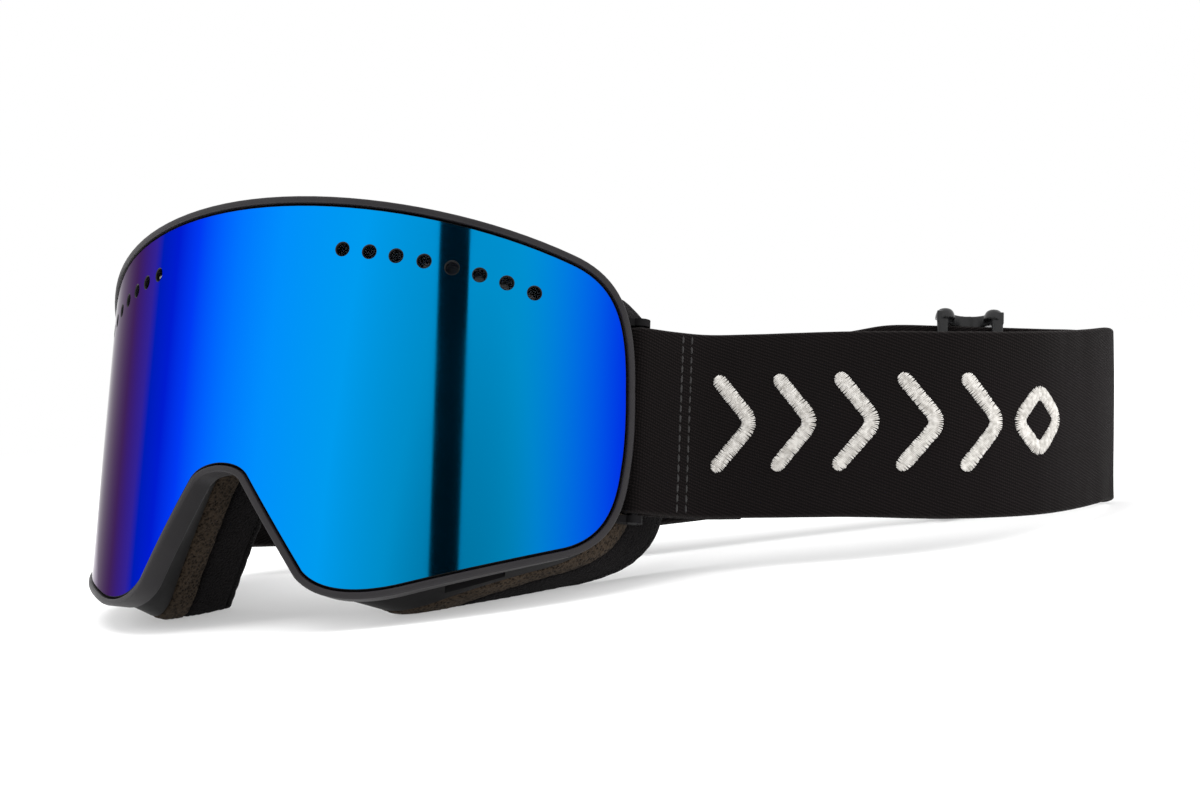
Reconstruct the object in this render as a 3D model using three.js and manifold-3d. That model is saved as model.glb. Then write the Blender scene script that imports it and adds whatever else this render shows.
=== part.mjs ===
// Motorcycle goggles: a mirrored cylindrical lens held by magnets in a matte bezel, a soft face
// frame with vents, a three-layer face foam, and an elastic head strap with a slide adjuster.
// The goggles stand on the two foam lobes beside the nose, leaning back, and on the strap's fold.
// Units are millimetres. +X is the wearer's left (right in a front view), +Y goes back to the
// face, +Z is up.
import * as THREE from 'three';
import { mergeVertices } from 'three/addons/utils/BufferGeometryUtils.js';
import Module from 'manifold-3d';

const wasm = await Module();
wasm.setup();

// Driving dimensions.
const lensRadius = 100; // the lens is a piece of an upright cylinder
const lean = THREE.MathUtils.degToRad(17.2); // how far the standing goggles lean back
const floorDrop = 56.5; // the floor's distance below the lens centre, square to the floor
const gap = 0.3; // play between pieces that touch
const outlineSteps = 8; // points along each stretch of an outline

const lensThickness = 1.2;
const lensEdgePlay = 0.5; // between the lens edge and the bezel's lip
const carrierFront = -lensThickness - gap; // depths are measured from the lens's outer face
const carrierBack = -3.3;
const carrierOuter = -0.4; // the carrier ring's edges inside the lens outline
const carrierInner = -4.8;
const innerLensInset = -5.7;
const gasketInner = -8;
const ledgeFront = carrierBack - gap;
const ledgeBack = -5.2;
const ledgeInset = -5; // the ledge reaches this far inside the lens outline
const innerLensFront = -4.2;
const innerLensBack = -5;
const lipWidth = 1.7;
const lipFront = 0.7;
const lipRounding = 0.5;

const ventDiameter = 3.3; // the row of round vents along the lens's top edge
const ventPositions = [
  [31, 35.3], [37.9, 34.5], [44.6, 33.5], [51.5, 32.3],
  [58.3, 30.9], [65, 29.5], [71.6, 28], [78.4, 26.1],
];

const magnetDiameter = 3;
const magnetLength = 1;
const magnetPocket = magnetDiameter + 2 * gap;
const magnetInset = -2.6; // from the lens outline to the magnets' centres
const magnetSpots = { brow: 0.085, temple: 0.27, cheek: 0.5 }; // share of the half outline

const faceCentreDepth = 15; // the face flange behind the lens at the nose
const faceRadius = 95; // how strongly the face flange curves round the head
const flangeThickness = 2;
const wallThickness = 3.5;
const wallOverLens = 1.6; // the wall's front edge reaches this far outside the lens outline
const topVents = { places: [-48, -24, 0, 24, 48], size: [15, 4, 14], height: 45, drop: 24 };
const lowVents = { places: [-58, 58], size: [14, 4, 12], height: -42 };
const ventFoamThickness = 2.6;
const ventFoamWidth = 4.6;
const browFoamInset = 5.4; // from the face outline
const cheekFoamInset = 7.4;
const baseFoamThickness = 7.6;
const middleFoamThickness = 11.8;
const fleeceThickness = 1.5;

const webbingWidth = 46;
const webbingThickness = 1.8;
const layerOffset = webbingThickness + gap; // from one webbing layer's middle to the next one's
const pinRadius = 1.2;
const loopRadius = pinRadius + gap + webbingThickness / 2;
const loopLeg = 6;
const loopGap = 1.2; // the run of webbing starts this far beyond the end loop
const pinPlace = [83.6, 56.6];
const anchorBottom = -24; // the webbing's lower edge at the pins
const earHeight = 1.8;
const earPlay = 0.5;
const earRadius = 2.4;
const earReach = 9; // from the pin into the frame's wall
const earTurn = 0.746;
const earArmWidth = 3.2;
const strapStartRight = new THREE.Vector2(0.55, 0.835).normalize(); // the webbing leaves the pins
const strapStartLeft = new THREE.Vector2(-0.2, 0.98).normalize(); // in these directions

const slideCentre = new THREE.Vector2(131, 147);
const slideHeading = THREE.MathUtils.degToRad(210); // along the webbing, towards the left pin
const slideHalfLength = 9;
const slideWall = 3; // thickness of the arch's rails
const slideEndBar = 2.2;
const slideRailHeight = 2.8;
const slideBarWidth = 4;
const slideBarThickness = 2;
const slideTabLength = 18;
const slideTravelIn = 10; // towards the left pin
const straightBottom = -7.4; // the lower webbing edge along the slide's straight stretch
const gripHeights = { upper: 34, middle: 22, lower: 10 }; // silicone lines inside the far run
const gripWidth = 2;
const gripThickness = 0.6;
const gripReach = [-58, 56];

const colours = {
  bezel: 0x3a373a, frame: 0x1c1b1d, lens: 0x0a6fe8, clear: 0xb8c4cc, carrier: 0x202022, magnet: 0xb9babd,
  brownFoam: 0x3e362e, blackFoam: 0x171618, fleece: 0x141315, webbing: 0x201a1a, slide: 0x161617,
  steel: 0xa8a9ad, grip: 0x2b2b2f, gasket: 0x2a2a2c,
};

// --- solids -----------------------------------------------------------------------------------

// A surface given as points and triangles, turned so that its faces point out.
function solidFromTriangles(points, triangles) {
  let volume = 0;
  for (const [a, b, c] of triangles) {
    volume += points[a].dot(new THREE.Vector3().crossVectors(points[b], points[c]));
  }
  const index = volume > 0 ? triangles.flat() : triangles.flatMap(([a, b, c]) => [a, c, b]);
  const geometry = new THREE.BufferGeometry();
  geometry.setAttribute('position', new THREE.Float32BufferAttribute(points.flatMap((p) => p.toArray()), 3));
  geometry.setIndex(index);
  geometry.computeVertexNormals();
  return geometry;
}

// A solid through a row of equal rings: joined end to end when round is true, else capped.
function loft(rings, round) {
  const count = rings[0].length;
  const points = rings.flat();
  const triangles = [];
  const last = round ? rings.length : rings.length - 1;
  for (let i = 0; i < last; i += 1) {
    const here = i * count;
    const next = ((i + 1) % rings.length) * count;
    for (let k = 0; k < count; k += 1) {
      const other = (k + 1) % count;
      const [a, b, c, d] = [here + k, next + k, next + other, here + other];
      // The shorter diagonal, so that stacked layers bend alike.
      const plain = points[a].distanceTo(points[c]) < points[b].distanceTo(points[d]) + 0.001;
      triangles.push(...(plain ? [[a, b, c], [a, c, d]] : [[a, b, d], [b, c, d]]));
    }
  }
  if (!round) {
    const end = (rings.length - 1) * count;
    for (let k = 1; k < count - 1; k += 1) {
      triangles.push([0, k, k + 1], [end, end + k + 1, end + k]);
    }
  }
  return solidFromTriangles(points, triangles);
}

function toManifold(geometry) {
  const bare = geometry.clone();
  bare.deleteAttribute('normal');
  bare.deleteAttribute('uv');
  const merged = mergeVertices(bare, 1e-4);
  return new wasm.Manifold(new wasm.Mesh({
    numProp: 3,
    vertProperties: new Float32Array(merged.attributes.position.array),
    triVerts: new Uint32Array(merged.index.array),
  }));
}

function fromManifold(solid) {
  const { vertProperties, triVerts } = solid.getMesh();
  const geometry = new THREE.BufferGeometry();
  geometry.setAttribute('position', new THREE.Float32BufferAttribute(vertProperties, 3));
  geometry.setIndex(Array.from(triVerts));
  geometry.computeVertexNormals();
  return geometry;
}

function combine(base, added, cut) {
  let solid = toManifold(base);
  for (const piece of added) solid = solid.add(toManifold(piece));
  for (const piece of cut) solid = solid.subtract(toManifold(piece));
  return fromManifold(solid);
}

function box(width, depth, height, place, turn = 0) {
  const geometry = new THREE.BoxGeometry(width, depth, height);
  geometry.rotateZ(turn);
  geometry.translate(...place);
  return geometry;
}

// --- outlines ---------------------------------------------------------------------------------

// The right half of a closed outline from top centre to nose centre. A stretch is either
// [control, control, end] or just [end] for a straight one.
function halfOutline(start, stretches) {
  const points = [new THREE.Vector2(...start)];
  for (const stretch of stretches) {
    const from = points[points.length - 1];
    const end = new THREE.Vector2(...stretch[stretch.length - 1]);
    const straight = stretch.length === 1;
    const first = straight ? from.clone().lerp(end, 1 / 3) : new THREE.Vector2(...stretch[0]);
    const second = straight ? from.clone().lerp(end, 2 / 3) : new THREE.Vector2(...stretch[1]);
    const curve = new THREE.CubicBezierCurve(from, first, second, end);
    points.push(...curve.getPoints(outlineSteps).slice(1));
  }
  return points;
}

// The whole outline, each point with its outward direction.
function wholeOutline(half) {
  const left = half.slice(1, -1).reverse().map((p) => new THREE.Vector2(-p.x, p.y));
  const points = [...half, ...left];
  return points.map((point, i) => {
    const before = points[(i + points.length - 1) % points.length];
    const after = points[(i + 1) % points.length];
    const along = after.clone().sub(before).normalize();
    return { point, out: new THREE.Vector2(-along.y, along.x) };
  });
}

const shifted = ({ point, out }, distance) => point.clone().addScaledVector(out, distance);

// Arc length round the lens across, height up.
const lensHalf = halfOutline([0, 47.6], [
  [[30, 47.6], [62, 42.6], [86.7, 34.4]],
  [[99, 30.5], [102.3, 22], [102.8, 5]],
  [[103.2, -2], [103.2, -9], [102.4, -14.6]],
  [[101.5, -24], [98.5, -31.5], [89, -34.7]],
  [[50.7, -45.4]],
  [[42.7, -47.6], [32, -48.5], [26.4, -43]],
  [[9.3, -19.8]],
  [[7.5, -17.4], [4, -16.4], [0, -16.3]],
]);
const lensOutline = wholeOutline(lensHalf);

// Straight across and up: the outer and inner edges of the face flange and its foam.
const faceHalf = halfOutline([0, 47.5], [
  [[30, 47.5], [54, 43.5], [68, 35]],
  [[75, 31], [79, 22], [79, 6]],
  [[79, 0], [79, -8], [79, -14]],
  [[79, -26], [77, -34], [68, -38.5]],
  [[50, -47]],
  [[43, -50.5], [34, -54], [29.5, -43]],
  [[17, -20]],
  [[12.5, -12], [7, -11], [0, -11]],
]);
const faceOutline = wholeOutline(faceHalf);
const openingHalf = halfOutline([0, 35], [
  [[26, 35], [44, 32], [54, 26]],
  [[61, 22], [65, 14], [65, 5]],
  [[65, 0], [65, -6], [65, -10]],
  [[65, -19], [62, -24], [56, -27]],
  [[47, -31.5]],
  [[43, -33.5], [40, -33], [37.5, -28.5]],
  [[27, -11]],
  [[21, -1], [12, 1], [0, 1]],
]);
const openingOutline = wholeOutline(openingHalf);

// A point on the lens's cylinder, depth counted outward from its outer face.
function onLens(flat, depth) {
  const angle = flat.x / lensRadius;
  const radius = lensRadius + depth;
  return new THREE.Vector3(radius * Math.sin(angle), lensRadius - radius * Math.cos(angle), flat.y);
}

const faceDepth = (x) => faceCentreDepth + faceRadius - Math.sqrt(faceRadius ** 2 - x ** 2);
const onFace = (flat, back) => new THREE.Vector3(flat.x, faceDepth(flat.x) + back, flat.y);

// --- lens cassette ----------------------------------------------------------------------------

// Height of an outline's top or bottom edge at one place across.
function edgeHeight(points, across) {
  for (let i = 1; i < points.length; i += 1) {
    const [from, to] = [points[i - 1], points[i]];
    if (across >= Math.min(from.x, to.x) && across <= Math.max(from.x, to.x) && from.x !== to.x) {
      return THREE.MathUtils.mapLinear(across, from.x, to.x, from.y, to.y);
    }
  }
  return points[points.length - 1].y;
}

// A curved pane inside the outline, inset from it, between two depths.
function pane(inset, front, back) {
  const edge = lensOutline.slice(0, lensHalf.length).map((spot) => shifted(spot, inset));
  edge[0].x = 0;
  edge[edge.length - 1].x = 0;
  const widest = edge.reduce((best, point, i) => (point.x > edge[best].x ? i : best), 0);
  const top = edge.slice(0, widest + 1);
  const bottom = edge.slice(widest).reverse();
  const columns = 40;
  const rings = [];
  for (let i = -columns; i <= columns; i += 1) {
    const across = edge[widest].x * 0.9996 * Math.sin((i / columns) * (Math.PI / 2));
    const high = new THREE.Vector2(across, edgeHeight(top, Math.abs(across)));
    const low = new THREE.Vector2(across, edgeHeight(bottom, Math.abs(across)));
    rings.push([onLens(high, front), onLens(low, front), onLens(low, back), onLens(high, back)]);
  }
  return loft(rings, false);
}

// A short rod square to the lens at one spot, between two depths.
function lensRod(flat, diameter, front, back, sides = 16) {
  const geometry = new THREE.CylinderGeometry(diameter / 2, diameter / 2, front - back, sides);
  geometry.translate(0, -(front + back) / 2, 0);
  geometry.rotateZ(flat.x / lensRadius);
  const foot = onLens(flat, 0);
  geometry.translate(foot.x, foot.y, foot.z);
  return geometry;
}

function outerLens() {
  const vents = ventPositions.flatMap(([across, height]) => [-1, 1].map((side) =>
    lensRod(new THREE.Vector2(side * across, height), ventDiameter, 1, -lensThickness - 1)));
  return combine(pane(0, 0, -lensThickness), [], vents);
}

// A ring that follows the lens outline, its section given as [offset outward, depth] corners.
function lensRing(section) {
  return loft(lensOutline.map((spot) => section.map(([offset, depth]) =>
    onLens(shifted(spot, offset), depth))), true);
}

const magnetPlaces = Object.entries(magnetSpots).flatMap(([name, share]) => {
  const spot = lensOutline[Math.round(share * (lensHalf.length - 1))];
  const flat = shifted(spot, magnetInset);
  return [['right', flat], ['left', new THREE.Vector2(-flat.x, flat.y)]]
    .map(([side, place]) => ({ name: `${name}_${side}`, place }));
});

function lensCarrier() {
  const ring = lensRing([
    [carrierOuter, carrierFront], [carrierOuter, carrierBack],
    [carrierInner, carrierBack], [carrierInner, carrierFront],
  ]);
  const pockets = magnetPlaces.map(({ place }) =>
    lensRod(place, magnetPocket, carrierBack + magnetLength + 2 * gap, carrierBack - 1, 20));
  return combine(ring, [], pockets);
}

function bezel() {
  const ring = lensRing([
    [lensEdgePlay, lipFront - lipRounding], [lensEdgePlay + lipRounding, lipFront],
    [lensEdgePlay + lipWidth - lipRounding, lipFront], [lensEdgePlay + lipWidth, lipFront - lipRounding],
    [lensEdgePlay + lipWidth, ledgeBack],
    [ledgeInset, ledgeBack], [ledgeInset, ledgeFront], [lensEdgePlay, ledgeFront],
  ]);
  const pockets = magnetPlaces.map(({ place }) =>
    lensRod(place, magnetPocket, ledgeFront + gap, ledgeFront - magnetLength - gap, 20));
  return combine(ring, [], pockets);
}

// --- face frame and foam ----------------------------------------------------------------------

const pinAt = (side) => new THREE.Vector2(side * pinPlace[0], pinPlace[1]);

function earPair(side) {
  const pin = pinAt(side);
  const levels = [
    anchorBottom - earPlay - earHeight / 2, anchorBottom + webbingWidth + earPlay + earHeight / 2,
  ];
  return levels.flatMap((level) => {
    const round = new THREE.CylinderGeometry(earRadius, earRadius, earHeight, 20);
    round.rotateX(Math.PI / 2);
    round.translate(pin.x, pin.y, level);
    const arm = box(earReach, earArmWidth, earHeight, [-earReach / 2, 0, 0]);
    arm.rotateZ(earTurn);
    if (side < 0) arm.rotateY(Math.PI);
    arm.translate(pin.x, pin.y, level);
    return [round, arm];
  });
}

function faceFrame() {
  const rings = lensOutline.map((spot, i) => {
    const faceSpot = faceOutline[i];
    return [
      onLens(shifted(spot, wallOverLens), ledgeBack - gap),
      onFace(faceSpot.point, -gap),
      onFace(openingOutline[i].point, -gap),
      onFace(openingOutline[i].point, -gap - flangeThickness),
      onFace(shifted(faceSpot, -wallThickness), -gap - flangeThickness),
      onLens(shifted(spot, carrierInner), ledgeBack - gap),
    ];
  });
  const ears = [-1, 1].flatMap(earPair);
  const holes = [-1, 1].map((side) => {
    const hole = new THREE.CylinderGeometry(pinRadius + gap, pinRadius + gap, 80, 20);
    hole.rotateX(Math.PI / 2);
    hole.translate(pinAt(side).x, pinAt(side).y, 0);
    return hole;
  });
  const vents = [topVents, lowVents].flatMap(({ places, size, height, drop }) => places.map((x) =>
    box(...size, [x, ventDepth(x), height - (drop ? (x / drop) ** 2 : 0)], ventTurn(x))));
  return combine(loft(rings, true), ears, [...holes, ...vents]);
}

// Vents are halfway between the lens ledge and the face flange, turned with the curve.
function ventDepth(x) {
  const ledge = lensRadius - Math.sqrt((lensRadius + ledgeBack) ** 2 - x ** 2);
  return (ledge + faceDepth(x) - flangeThickness) / 2;
}

const ventTurn = (x) => Math.asin(x / faceRadius);

// A strip of open foam behind a row of vents, along the outline between two of its points.
function ventFoam(first, last, inset) {
  const rings = [];
  for (let i = first; i <= last; i += 1) {
    const spot = faceOutline[(i + faceOutline.length) % faceOutline.length];
    const [near, far] = [shifted(spot, -inset), shifted(spot, -inset - ventFoamThickness)];
    const middle = (flat, step) => new THREE.Vector3(flat.x, ventDepth(flat.x) + step, flat.y);
    const half = ventFoamWidth / 2;
    rings.push([middle(near, -half), middle(near, half), middle(far, half), middle(far, -half)]);
  }
  return loft(rings, false);
}

// One foam layer on the face flange, trimmed flat where the goggles stand on it.
function foamLayer(from, thickness) {
  const rings = faceOutline.map(({ point }, i) => {
    const inner = openingOutline[i].point;
    const to = from + thickness;
    return [onFace(point, from), onFace(point, to), onFace(inner, to), onFace(inner, from)];
  });
  const floor = new THREE.BoxGeometry(300, 300, 40);
  floor.translate(0, 0, -floorDrop - 20);
  floor.rotateX(lean);
  return combine(loft(rings, true), [], [floor]);
}

// --- strap ------------------------------------------------------------------------------------

// A band of webbing: each step of its route is [x, y, height of the lower edge]; side moves it
// off the route, outward from the head.
function band(route, side = 0, thickness = webbingThickness, low = 0, high = webbingWidth) {
  const rings = route.map((step, i) => {
    const before = route[Math.max(i - 1, 0)];
    const after = route[Math.min(i + 1, route.length - 1)];
    const along = new THREE.Vector2(after.x - before.x, after.y - before.y).normalize();
    const offset = typeof side === 'function' ? side(i / (route.length - 1)) : side;
    const corner = (across, up) => new THREE.Vector3(
      step.x + along.y * (offset + across), step.y - along.x * (offset + across), step.z + up);
    const half = thickness / 2;
    return [corner(-half, low), corner(half, low), corner(half, high), corner(-half, high)];
  });
  return loft(rings, false);
}

function smoothRoute(points, steps) {
  const spots = points.map((p) => new THREE.Vector3(...p));
  return new THREE.CatmullRomCurve3(spots, false, 'centripetal').getPoints(steps);
}

// Where a run of webbing meets the end loop round a pin, on the loop's outer or inner leg.
function legEnd(side, heading, offset, distance) {
  const outward = new THREE.Vector2(heading.y, -heading.x);
  const place = pinAt(side).addScaledVector(outward, offset).addScaledVector(heading, distance);
  return [place.x, place.y, anchorBottom];
}

// A point of the route beside the slide, drop below the straight stretch.
const slideSpot = (along, drop = 0) => [
  slideCentre.x + along * Math.cos(slideHeading), slideCentre.y + along * Math.sin(slideHeading),
  straightBottom - drop,
];

const mainRoute = smoothRoute([
  legEnd(1, strapStartRight, loopRadius, loopLeg + loopGap),
  [95, 69.2, -23.6], [106.5, 75.8, -23], [128, 82, -22.8], [150.5, 93.6, -22.4], [163.5, 113, -19.2],
  [167.6, 138, -13.4], [167.2, 153, -9.6], [165.6, 160.4, -8.4], [162.2, 163.2, -8.4],
  slideSpot(-29), slideSpot(-22), slideSpot(-8), slideSpot(8), slideSpot(22, 0.9), slideSpot(33, 2.6),
  [83, 118.6, -14.2], [62, 105, -18.5], [38, 98.6, -20.8], [0, 97, -21.3], [-38, 96, -21.3],
  [-60, 94.5, -21.4], [-74, 91, -21.8], [-83, 84, -22.4], [-86, 75, -23.2],
  legEnd(-1, strapStartLeft, loopRadius, loopLeg + loopGap),
], 150);

const afterFold = mainRoute.findIndex((p) => p.y > slideCentre.y + 13);

// The doubled layer from the slide back to the left pin, lying on the outside of the main run.
function returnLayer() {
  const begin = new THREE.Vector2(...slideSpot(slideTabLength + slideTravelIn + 1));
  const route = mainRoute.slice(mainRoute.findIndex((p, i) => i > afterFold && p.x < begin.x));
  const easeToLoop = (share) => layerOffset
    + (2 * loopRadius - layerOffset) * THREE.MathUtils.smoothstep(share, 0.86, 1);
  return band(route, easeToLoop);
}

// Webbing folded round an upright bar: two legs and a half turn.
function webbingLoop(centre, heading, radius, legs, bottom) {
  const outward = new THREE.Vector2(heading.y, -heading.x);
  const route = [];
  const add = (side, ahead) => {
    const place = centre.clone().addScaledVector(outward, side).addScaledVector(heading, ahead);
    route.push(new THREE.Vector3(place.x, place.y, bottom));
  };
  for (const share of [1, 0.5]) add(radius, legs[0] * share);
  const turns = 10;
  for (let i = 0; i <= turns; i += 1) {
    const angle = (i / turns) * Math.PI;
    add(radius * Math.cos(angle), -radius * Math.sin(angle));
  }
  for (const share of [0.5, 1]) add(-radius, legs[1] * share);
  return band(route);
}

function strapPin() {
  const length = webbingWidth + 2 * (earPlay + earHeight);
  const geometry = new THREE.CylinderGeometry(pinRadius, pinRadius, length, 16);
  geometry.rotateX(Math.PI / 2);
  return geometry;
}

// --- slide adjuster ---------------------------------------------------------------------------

const barCentre = layerOffset + webbingThickness / 2 + gap + slideBarThickness / 2;

// An arched three-bar slide: its end bars are inside the main run, its middle bar outside it.
// Local X follows the webbing, Y points to the head, Z is up.
function slide() {
  const inside = webbingThickness / 2 + gap;
  const foot = inside + slideEndBar;
  const crown = barCentre + slideBarThickness / 2 + gap;
  const arch = new THREE.Shape();
  arch.moveTo(-slideHalfLength, foot);
  arch.bezierCurveTo(-slideHalfLength + 1, -1, -6, -crown, 0, -crown);
  arch.bezierCurveTo(6, -crown, slideHalfLength - 1, -1, slideHalfLength, foot);
  arch.lineTo(slideHalfLength - slideWall, foot);
  arch.bezierCurveTo(slideHalfLength - 4, 1, 4, -crown + slideWall, 0, -crown + slideWall);
  arch.bezierCurveTo(-4, -crown + slideWall, -slideHalfLength + 4, 1, -slideHalfLength + slideWall, foot);
  const railAt = webbingWidth / 2 + 0.7;
  const rails = [railAt, -railAt - slideRailHeight].map((low) => {
    const options = { depth: slideRailHeight, bevelEnabled: false, curveSegments: 8 };
    const rail = new THREE.ExtrudeGeometry(arch, options);
    rail.translate(0, 0, low);
    return rail;
  });
  const barLength = 2 * railAt + slideRailHeight;
  const endAt = slideHalfLength - slideWall / 2 - 0.2;
  const bars = [
    box(slideWall, slideEndBar, barLength, [-endAt, inside + slideEndBar / 2, 0]),
    box(slideWall, slideEndBar, barLength, [endAt, inside + slideEndBar / 2, 0]),
    box(slideBarWidth, slideBarThickness, barLength, [0, -barCentre, 0]),
  ];
  return combine(bars[0], [bars[1], bars[2], ...rails], []);
}

// --- assembly ---------------------------------------------------------------------------------

const goggles = new THREE.Group();
goggles.rotation.x = -lean;

function add(parent, name, geometry, colour, roughness, metalness = 0) {
  const material = new THREE.MeshStandardMaterial({ color: colour, roughness, metalness });
  const mesh = new THREE.Mesh(geometry, material);
  mesh.name = name;
  parent.add(mesh);
  return mesh;
}

add(goggles, 'bezel', bezel(), colours.bezel, 0.6);
add(goggles, 'face_frame', faceFrame(), colours.frame, 0.55);
const browFoam = outlineSteps - 1;
add(goggles, 'vent_foam_brow', ventFoam(-browFoam, browFoam, browFoamInset), colours.brownFoam, 1);
const cheekFirst = Math.round(4.1 * outlineSteps);
const cheekLast = Math.round(4.9 * outlineSteps);
add(goggles, 'vent_foam_cheek_right', ventFoam(cheekFirst, cheekLast, cheekFoamInset), colours.brownFoam, 1);
const cheekFoamLeft = ventFoam(
  faceOutline.length - cheekLast, faceOutline.length - cheekFirst, cheekFoamInset,
);
add(goggles, 'vent_foam_cheek_left', cheekFoamLeft, colours.brownFoam, 1);

let foamBack = 0;
for (const [name, thickness, colour] of [
  ['foam_base', baseFoamThickness, colours.brownFoam],
  ['foam_middle', middleFoamThickness, colours.blackFoam],
  ['foam_fleece', fleeceThickness, colours.fleece],
]) {
  add(goggles, name, foamLayer(foamBack, thickness), colour, 1);
  foamBack += thickness + gap;
}

const cassette = new THREE.Group();
goggles.add(cassette);
add(cassette, 'outer_lens', outerLens(), colours.lens, 0.08, 0.6);
add(cassette, 'lens_carrier', lensCarrier(), colours.carrier, 0.5);
add(cassette, 'lens_gasket', lensRing([
  [innerLensInset, carrierFront], [gasketInner, carrierFront], [gasketInner, innerLensFront + gap],
  [innerLensInset, innerLensFront + gap],
]), colours.gasket, 0.9);
add(cassette, 'inner_lens', pane(innerLensInset + 0.2, innerLensFront, innerLensBack), colours.clear, 0.1);

for (const { name, place } of magnetPlaces) {
  const lensMagnet = lensRod(place, magnetDiameter, carrierBack + magnetLength + gap, carrierBack + gap, 20);
  add(cassette, `lens_magnet_${name}`, lensMagnet, colours.magnet, 0.3, 1);
  const frameMagnet = lensRod(place, magnetDiameter, ledgeFront, ledgeFront - magnetLength, 20);
  add(goggles, `frame_magnet_${name}`, frameMagnet, colours.magnet, 0.3, 1);
}

add(goggles, 'strap_main', band(mainRoute), colours.webbing, 0.95);
add(goggles, 'strap_return', returnLayer(), colours.webbing, 0.95);
for (const [name, side, heading] of [['right', 1, strapStartRight], ['left', -1, strapStartLeft]]) {
  add(goggles, `strap_loop_${name}`,
    webbingLoop(pinAt(side), heading, loopRadius, [loopLeg, loopLeg], anchorBottom), colours.webbing, 0.95);
  const pin = add(goggles, `strap_pin_${name}`, strapPin(), colours.steel, 0.35, 1);
  pin.position.set(pinAt(side).x, pinAt(side).y, anchorBottom + webbingWidth / 2);
}

const gripRoute = mainRoute.filter((p, i) => i > afterFold && p.x > gripReach[0] && p.x < gripReach[1]);
for (const [name, height] of Object.entries(gripHeights)) {
  const offset = -(webbingThickness + gripThickness) / 2 - gap;
  const bead = band(gripRoute, offset, gripThickness, height, height + gripWidth);
  add(goggles, `grip_bead_${name}`, bead, colours.grip, 0.5);
}

const adjuster = new THREE.Group();
adjuster.position.set(slideCentre.x, slideCentre.y, straightBottom + webbingWidth / 2);
adjuster.rotation.z = slideHeading;
goggles.add(adjuster);
add(adjuster, 'slide', slide(), colours.slide, 0.35);
const tabTurn = new THREE.Vector2(1 - slideBarWidth / 2 - 0.6, -barCentre);
const tabLoop = webbingLoop(tabTurn, new THREE.Vector2(1, 0), barCentre - layerOffset,
  [9, slideTabLength - tabTurn.x], -webbingWidth / 2);
add(adjuster, 'slide_tab', tabLoop, colours.webbing, 0.95);

// The origin is under the middle of the whole object, on the floor.
const part = new THREE.Group();
part.add(goggles);
part.updateMatrixWorld(true);
const bounds = new THREE.Box3().setFromObject(part, true);
const centre = bounds.getCenter(new THREE.Vector3());
goggles.position.set(-centre.x, -centre.y, -bounds.min.z);

export default part;
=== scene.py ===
import math
import bpy
from mathutils import Matrix, Vector, noise
from mathutils.geometry import delaunay_2d_cdt
from mathutils.kdtree import KDTree


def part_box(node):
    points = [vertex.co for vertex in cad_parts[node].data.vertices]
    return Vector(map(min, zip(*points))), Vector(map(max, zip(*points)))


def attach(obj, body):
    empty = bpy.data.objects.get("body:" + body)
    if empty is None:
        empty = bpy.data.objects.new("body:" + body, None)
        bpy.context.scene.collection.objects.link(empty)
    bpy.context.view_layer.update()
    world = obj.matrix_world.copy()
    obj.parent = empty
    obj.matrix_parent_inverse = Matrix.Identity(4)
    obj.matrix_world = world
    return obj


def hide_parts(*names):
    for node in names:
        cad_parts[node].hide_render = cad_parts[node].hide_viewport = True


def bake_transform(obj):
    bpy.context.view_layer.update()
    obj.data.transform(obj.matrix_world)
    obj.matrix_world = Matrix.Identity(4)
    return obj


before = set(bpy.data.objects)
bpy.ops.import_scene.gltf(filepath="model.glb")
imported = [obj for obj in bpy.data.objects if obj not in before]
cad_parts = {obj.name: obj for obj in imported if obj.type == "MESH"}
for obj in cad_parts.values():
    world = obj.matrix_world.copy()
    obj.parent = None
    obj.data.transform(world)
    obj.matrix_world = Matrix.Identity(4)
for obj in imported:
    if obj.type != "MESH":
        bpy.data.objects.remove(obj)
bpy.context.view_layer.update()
print("frame loaded")

# The goggles' own axes: origin at the lens's front centre, x across, y back, z up the lens.
# The frame's are the floor's, so everything is modelled upright and then leaned back.
stand = {"lean": 17.2, "lensRadius": 100.0, "pinSide": 83.6, "pinBack": 56.6, "pinMiddle": -1.0}
mm = 0.001


def boxCentre(node):
    low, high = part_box(node)
    return (low + high) / 2


leanTurn = Matrix.Rotation(-math.radians(stand["lean"]), 4, "X")
pinsMiddle = (boxCentre("strap_pin_right") + boxCentre("strap_pin_left")) / 2
pinsLocal = leanTurn @ Vector((0, stand["pinBack"] * mm, stand["pinMiddle"] * mm))
toRow = Matrix.Translation(pinsMiddle - pinsLocal) @ leanTurn
middleX = pinsMiddle.x


def at(x, y, z):
    return toRow @ Vector((x * mm, y * mm, z * mm))


def along(x, y, z):
    return (leanTurn @ Vector((x, y, z))).normalized()


def clamp(value, low=0, high=1):
    return min(max(value, low), high)


def circle(centre, radius, sides):
    return [Vector((centre[0] + radius * math.cos(2 * math.pi * i / sides),
                    centre[1] + radius * math.sin(2 * math.pi * i / sides))) for i in range(sides)]


def rounding(start, corner, end, steps):
    # Points on a curve from start to end that leans towards the corner.
    return [start * (1 - t) ** 2 + corner * 2 * t * (1 - t) + end * t * t
            for t in (i / steps for i in range(steps + 1))]


def cubic(a, b, c, d, steps):
    # Points on a curve from a to d, without a.
    return [a * (1 - t) ** 3 + b * 3 * t * (1 - t) ** 2 + c * 3 * t * t * (1 - t) + d * t ** 3
            for t in (i / steps for i in range(1, steps + 1))]


# Camera and stage

view = {"position": (361.6, -378.2, -99.8), "azimuth": 33.61, "elevation": -11.36, "roll": 2.64,
        "lens": 64.54}


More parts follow.
